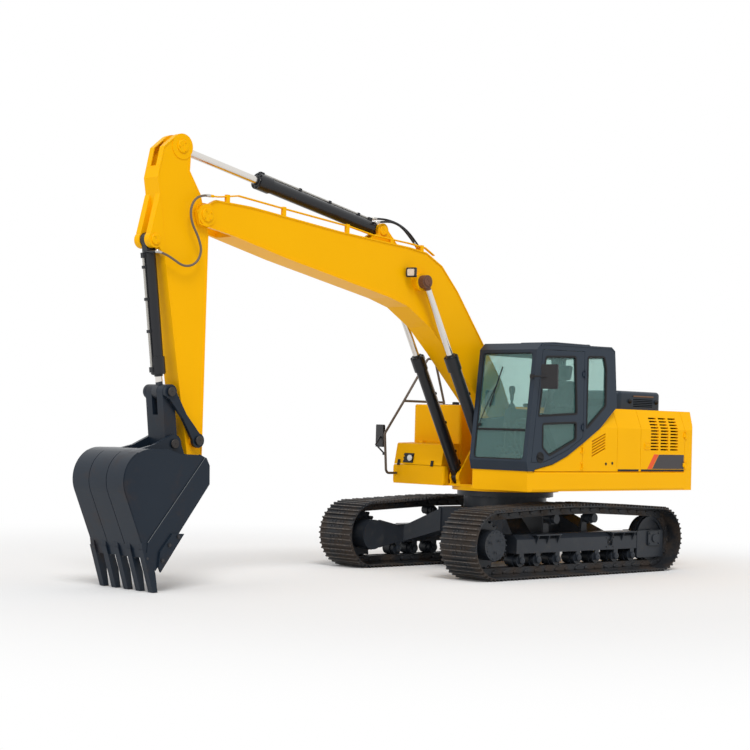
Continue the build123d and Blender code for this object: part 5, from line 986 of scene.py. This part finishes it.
# Pin caps: turned steel covers over each pin's end with a retaining bolt or two, painted with their part.
# The bucket's pins have plain oiled ends, and the boom cylinders' upper pins have rusted.
cap_steel = hardware("cap_steel", None, (0.050, 0.045, 0.042), metallic=0.5, roughness=0.45)
rust_brown = hardware("rust_brown", None, (0.16, 0.070, 0.040), metallic=0.2, roughness=0.6)
CAP_THICK = 0.014


def pin_caps(x, z, face, radius, bolts):
    """Both ends of a pin: a disc with an eased rim and its bolts, on each side."""
    rim = [(radius, 0), (radius, CAP_THICK * 0.7), (radius * 0.93, CAP_THICK)]
    disc = turned([*rim, (radius * 0.2, CAP_THICK), (radius * 0.15, CAP_THICK * 0.7)], 32)
    made = []
    for hand in (1, -1):
        out, top = (0, hand, 0), (x, hand * (face + CAP_THICK), z)
        made.append(stood(disc, (x, hand * face, z), out))
        if bolts:
            made.append(bolt_ring(top, radius * 0.66, bolts, out, radius / 0.075, 0.6))
    return made


# Columns: pin, along X and Z, face along Y, radius, bolts, body, finish, slot
for name, x, z, face, radius, bolts, body, finish, slot in (
    ("boom_foot", 0.150, 1.780, 0.217, 0.085, 3, "house", yellow_enamel, "yellow_paint"),
    ("boom_cylinder_foot", 0.620, 1.220, 0.374, 0.070, 2, "house", yellow_enamel, "yellow_paint"),
    ("boom_cylinder_eye", 1.980, 3.720, 0.347, 0.062, 2, "boom_rods", rust_brown, "chrome_rod"),
    ("boom_tip", 5.449, 4.221, 0.190, 0.082, 4, "boom", yellow_enamel, "yellow_paint"),
    ("arm_top", 5.785, 4.965, 0.128, 0.075, 3, "arm", yellow_enamel, "yellow_paint"),
    ("arm_cylinder_foot", 2.550, 4.330, 0.098, 0.064, 2, "boom", yellow_enamel, "yellow_paint"),
    ("bucket_cylinder_foot", 6.131, 3.885, 0.137, 0.062, 2, "arm", yellow_enamel, "yellow_paint"),
    ("link_top", 5.906, 2.196, 0.217, 0.052, 0, "guide_links", cap_steel, "steel_blue_paint"),
    ("link_pin", 5.494, 1.656, 0.217, 0.052, 0, "arm", cap_steel, "yellow_paint"),
    ("bucket_pin", 5.460, 1.296, 0.217, 0.056, 0, "arm", cap_steel, "yellow_paint"),
    ("bucket_link_pin", 5.839, 1.617, 0.217, 0.052, 0, "bucket", cap_steel, "steel_blue_paint"),
):
    piece(f"{name}_caps", pin_caps(x, z, face, radius, bolts), finish, body)

# Bucket, its links and lugs: a darker coat of the undercarriage's slate paint, browner and rubbed on the
# plates that meet the ground. Three wear plates are welded round the back.
bucket_paint = Finish(
    "bucket_paint", "steel_blue_paint", (0.010, 0.017, 0.028),
    gloss=0.15, roughness=0.38, coat_weight=0.12, coat_roughness=0.22,
)
rubbed = bucket_paint.between(bucket_paint.noise(2.2, 6, 0.65), 0.5, 0.72)
slate = bucket_paint.blend(bucket_paint.noise(1.2, 3), (0.008, 0.014, 0.024), (0.013, 0.021, 0.033))
rubbed_slate = bucket_paint.blend(rubbed * 0.6, slate, (0.034, 0.024, 0.021))
bucket_paint.look(base_color=rubbed_slate, roughness=0.32 + 0.2 * rubbed)
bucket_paint.relief(bucket_paint.noise(120, 3), 0.0008, 0.3)
coat(bucket_paint, "bucket", "guide_links", "bucket_link")
BACK_AT, BACK_RADIUS, WEAR_THICK = (6.365, 1.215), 0.345, 0.006
back_turn = np.radians(np.linspace(62, -24, 22))
back_out = np.stack([np.cos(back_turn), np.sin(back_turn)], -1)
back_line = np.concatenate([np.array(BACK_AT) + BACK_RADIUS * back_out, [(6.555, 0.79), (6.437, 0.52)]])
back_facing = np.concatenate([back_out, [(0.93, -0.36), (0.92, -0.39)]])
wear_side = np.concatenate([back_line - 0.001 * back_facing, (back_line + WEAR_THICK * back_facing)[::-1]])
wear = [slab(wear_side, low, high) for low, high in ((-0.470, -0.165), (-0.155, 0.155), (0.165, 0.470))]
piece("bucket_wear_plates", wear, bucket_paint, "bucket", 30)

# Bucket's edge: bolts that hold the side cutters, an adapter welded over the lip for each of the five teeth,
# and the tooth's pin. A pale strip along the rim of the band on each side plate is a painted highlight.
TEETH = -0.447 + 0.2235 * np.arange(5)
cutter_bolt = turned([(0.024, 0), (0.024, 0.005), (0.019, 0.005), (0.018, 0.018), (0.012, 0.020)], 12)
tooth_pin = turned([(0.014, 0), (0.014, 0.090), (0.010, 0.093)], 12)
fasteners = [stood(tooth_pin, [(6.375, y - 0.0455, 0.375) for y in TEETH], (0, 1, 0))]
fasteners += paired(cutter_bolt, [(5.985, 0.514, 0.604), (6.105, 0.514, 0.515), (6.195, 0.514, 0.350)])
piece("cutter_bolts", fasteners, bolt_steel, "bucket", 30)
adapter_side = [(6.452, 0.545), (6.300, 0.520), (6.322, 0.410), (6.436, 0.452)]
adapters = [slab(adapter_side, y - 0.036, y + 0.036, 0.004) for y in TEETH]
piece("tooth_adapters", adapters, bucket_paint, "bucket", 30)
# Painted highlight: a thin pale steel tube along each band's rim, where the light catches its edge.
painted_edge_highlight = hardware("painted_edge_highlight", "steel_blue_paint", (0.13, 0.14, 0.15), metallic=0.5, roughness=0.35)
band_edge = np.array([(5.621, 1.470), (6.379, 0.548)])
edges = [swept(in_3d(band_edge, hand * 0.489), 0.004, 8) for hand in (1, -1)]
piece("bucket_band_edge_highlights", edges, painted_edge_highlight, "bucket", 40)

# Cylinders: barrels in black enamel with bolted glands, clamping bands and zinc-plated oil pipes, and rods
# ground and hard-chromed, with a painted eye forged at their end.
cylinder_enamel = Finish(
    "cylinder_enamel", "cylinder_black", (0.008, 0.009, 0.012),
    roughness=0.32, coat_weight=0.2, coat_roughness=0.15,
)
cylinder_enamel.look(roughness=0.26 + 0.14 * cylinder_enamel.noise(8, 4))
coat(cylinder_enamel, "boom_cylinder_barrel", "arm_cylinder_barrel", "bucket_cylinder_barrel")
CHROME, EYE_REACH, PIPE_OFF, PIPE = (0.72, 0.69, 0.65), 0.115, 0.019, 0.0134


def chrome_rod(name, eye_x, eye_z, eye_colour):
    """A rod's finish: chrome where the distance from the eye's axis, taken in the side plane, is more than
    the eye's reach, and paint nearer than that."""
    chrome = Finish(f"{name}_chrome", "chrome_rod", CHROME, metallic=1.0, roughness=0.16)
    eye_at = (eye_x + SWING_X, 0, eye_z)
    from_eye = chrome.node("VectorMath", {"operation": "DISTANCE"}, {0: chrome.place, 1: eye_at}, out="Value")
    along_y = chrome.node("SeparateXYZ", {}, {0: chrome.place}, out="Y")
    in_plane = (from_eye * from_eye - along_y * along_y) ** 0.5
    bare = chrome.between(in_plane, EYE_REACH - 0.001, EYE_REACH + 0.001)
    rod_colour = chrome.blend(bare, eye_colour, CHROME)
    rod_rough = 0.42 - 0.28 * bare + 0.08 * chrome.noise(20, 4)
    chrome.look(base_color=rod_colour, metallic=bare, roughness=rod_rough)
    return chrome


def collar(section, sides=32):
    """A ring with an open bore: a section, radii and heights, carried round Z at equal angles."""
    return framed(circle(sides), [(1 - radius, height) for radius, height in section], "XY")


# Columns: cylinder, body of the barrel, pins at foot and eye, places along Y, radii of tube, head and rod,
# start of the tube and end of the head along the axis, colour of the rod's eye
for name, barrel, foot, eye_pin, across_y, tube_r, head_r, rod_r, tube_start, head_end, eye_colour in (
    (
        "boom_cylinder", "boom_barrels", (0.620, 1.220), (1.980, 3.720), (0.302, -0.302),
        0.075, 0.092, 0.0425, 0.125, 1.790, (0.14, 0.062, 0.036),
    ),
    (
        "arm_cylinder", "arm_barrel", (2.550, 4.330), (5.785, 4.965), (0.0,),
        0.084, 0.100, 0.0475, 0.130, 2.060, (0.80, 0.36, 0.004),
    ),
    (
        "bucket_cylinder", "bucket_barrel", (6.131, 3.885), (5.906, 2.196), (0.0,),
        0.070, 0.084, 0.040, 0.120, 1.500, (0.03, 0.034, 0.042),
    ),
):
    coat(chrome_rod(name, *eye_pin, eye_colour), f"{name}_rod")
    across = np.array(eye_pin) - foot
    across /= np.linalg.norm(across)
    axis, side_way = np.array([across[0], 0, across[1]]), np.array([-across[1], 0, across[0]])
    lip = [(head_r * 0.8, -0.002), (head_r * 0.8, 0.004), (rod_r + 0.014, 0.010), (rod_r + 0.012, 0.030)]
    lip = collar([*lip, (rod_r + 0.0015, 0.034), (rod_r + 0.0015, -0.002)])
    low, high = tube_r - 0.002, tube_r + 0.003
    band = collar([(low, -0.012), (high, -0.010), (high, 0.010), (low, 0.012)])
    glands, pipes = [], []
    for y in across_y:
        root = np.array([foot[0], y, foot[1]])
        head = root + head_end * axis
        glands += [bolt_ring(head, head_r - 0.017, 8, axis, 1.1), stood(lip, head, axis)]
        for share in (0.25, 0.51, 0.80):
            reach = tube_start + share * (head_end - tube_start - 0.19)
            glands.append(stood(band, root + reach * axis, axis))
        off = root + (tube_r + PIPE_OFF) * side_way
        pipes.append(swept([off + (tube_start + 0.032) * axis, off + (head_end - 0.032) * axis], PIPE, 12))
    piece(f"{name}_gland", glands, cylinder_enamel, barrel)
    piece(f"{name}_oil_pipe", pipes, zinc_plate, barrel, 40)

# Nuts that join the barrels' ports to their hoses: hexagons of plated steel, eased at both ends.
# Two are on the arm cylinder and one on the bucket cylinder.
NUT = turned([(0.016, 0), (0.021, 0.004), (0.021, 0.034), (0.016, 0.038)], 6)
side_nut = stood(NUT, (2.702, 0.107, 4.414), (0, 1, 0))
middle_nut = stood(NUT, (2.652, 0.030, 4.4655), (0.981, 0, 0.193))
piece("arm_hose_nuts", [side_nut, middle_nut], zinc_plate, "arm_barrel", 30)
piece("nose_hose_nut", [stood(NUT, (6.165, 0.197, 3.742), (0, 1, 0))], zinc_plate, "bucket_barrel", 30)
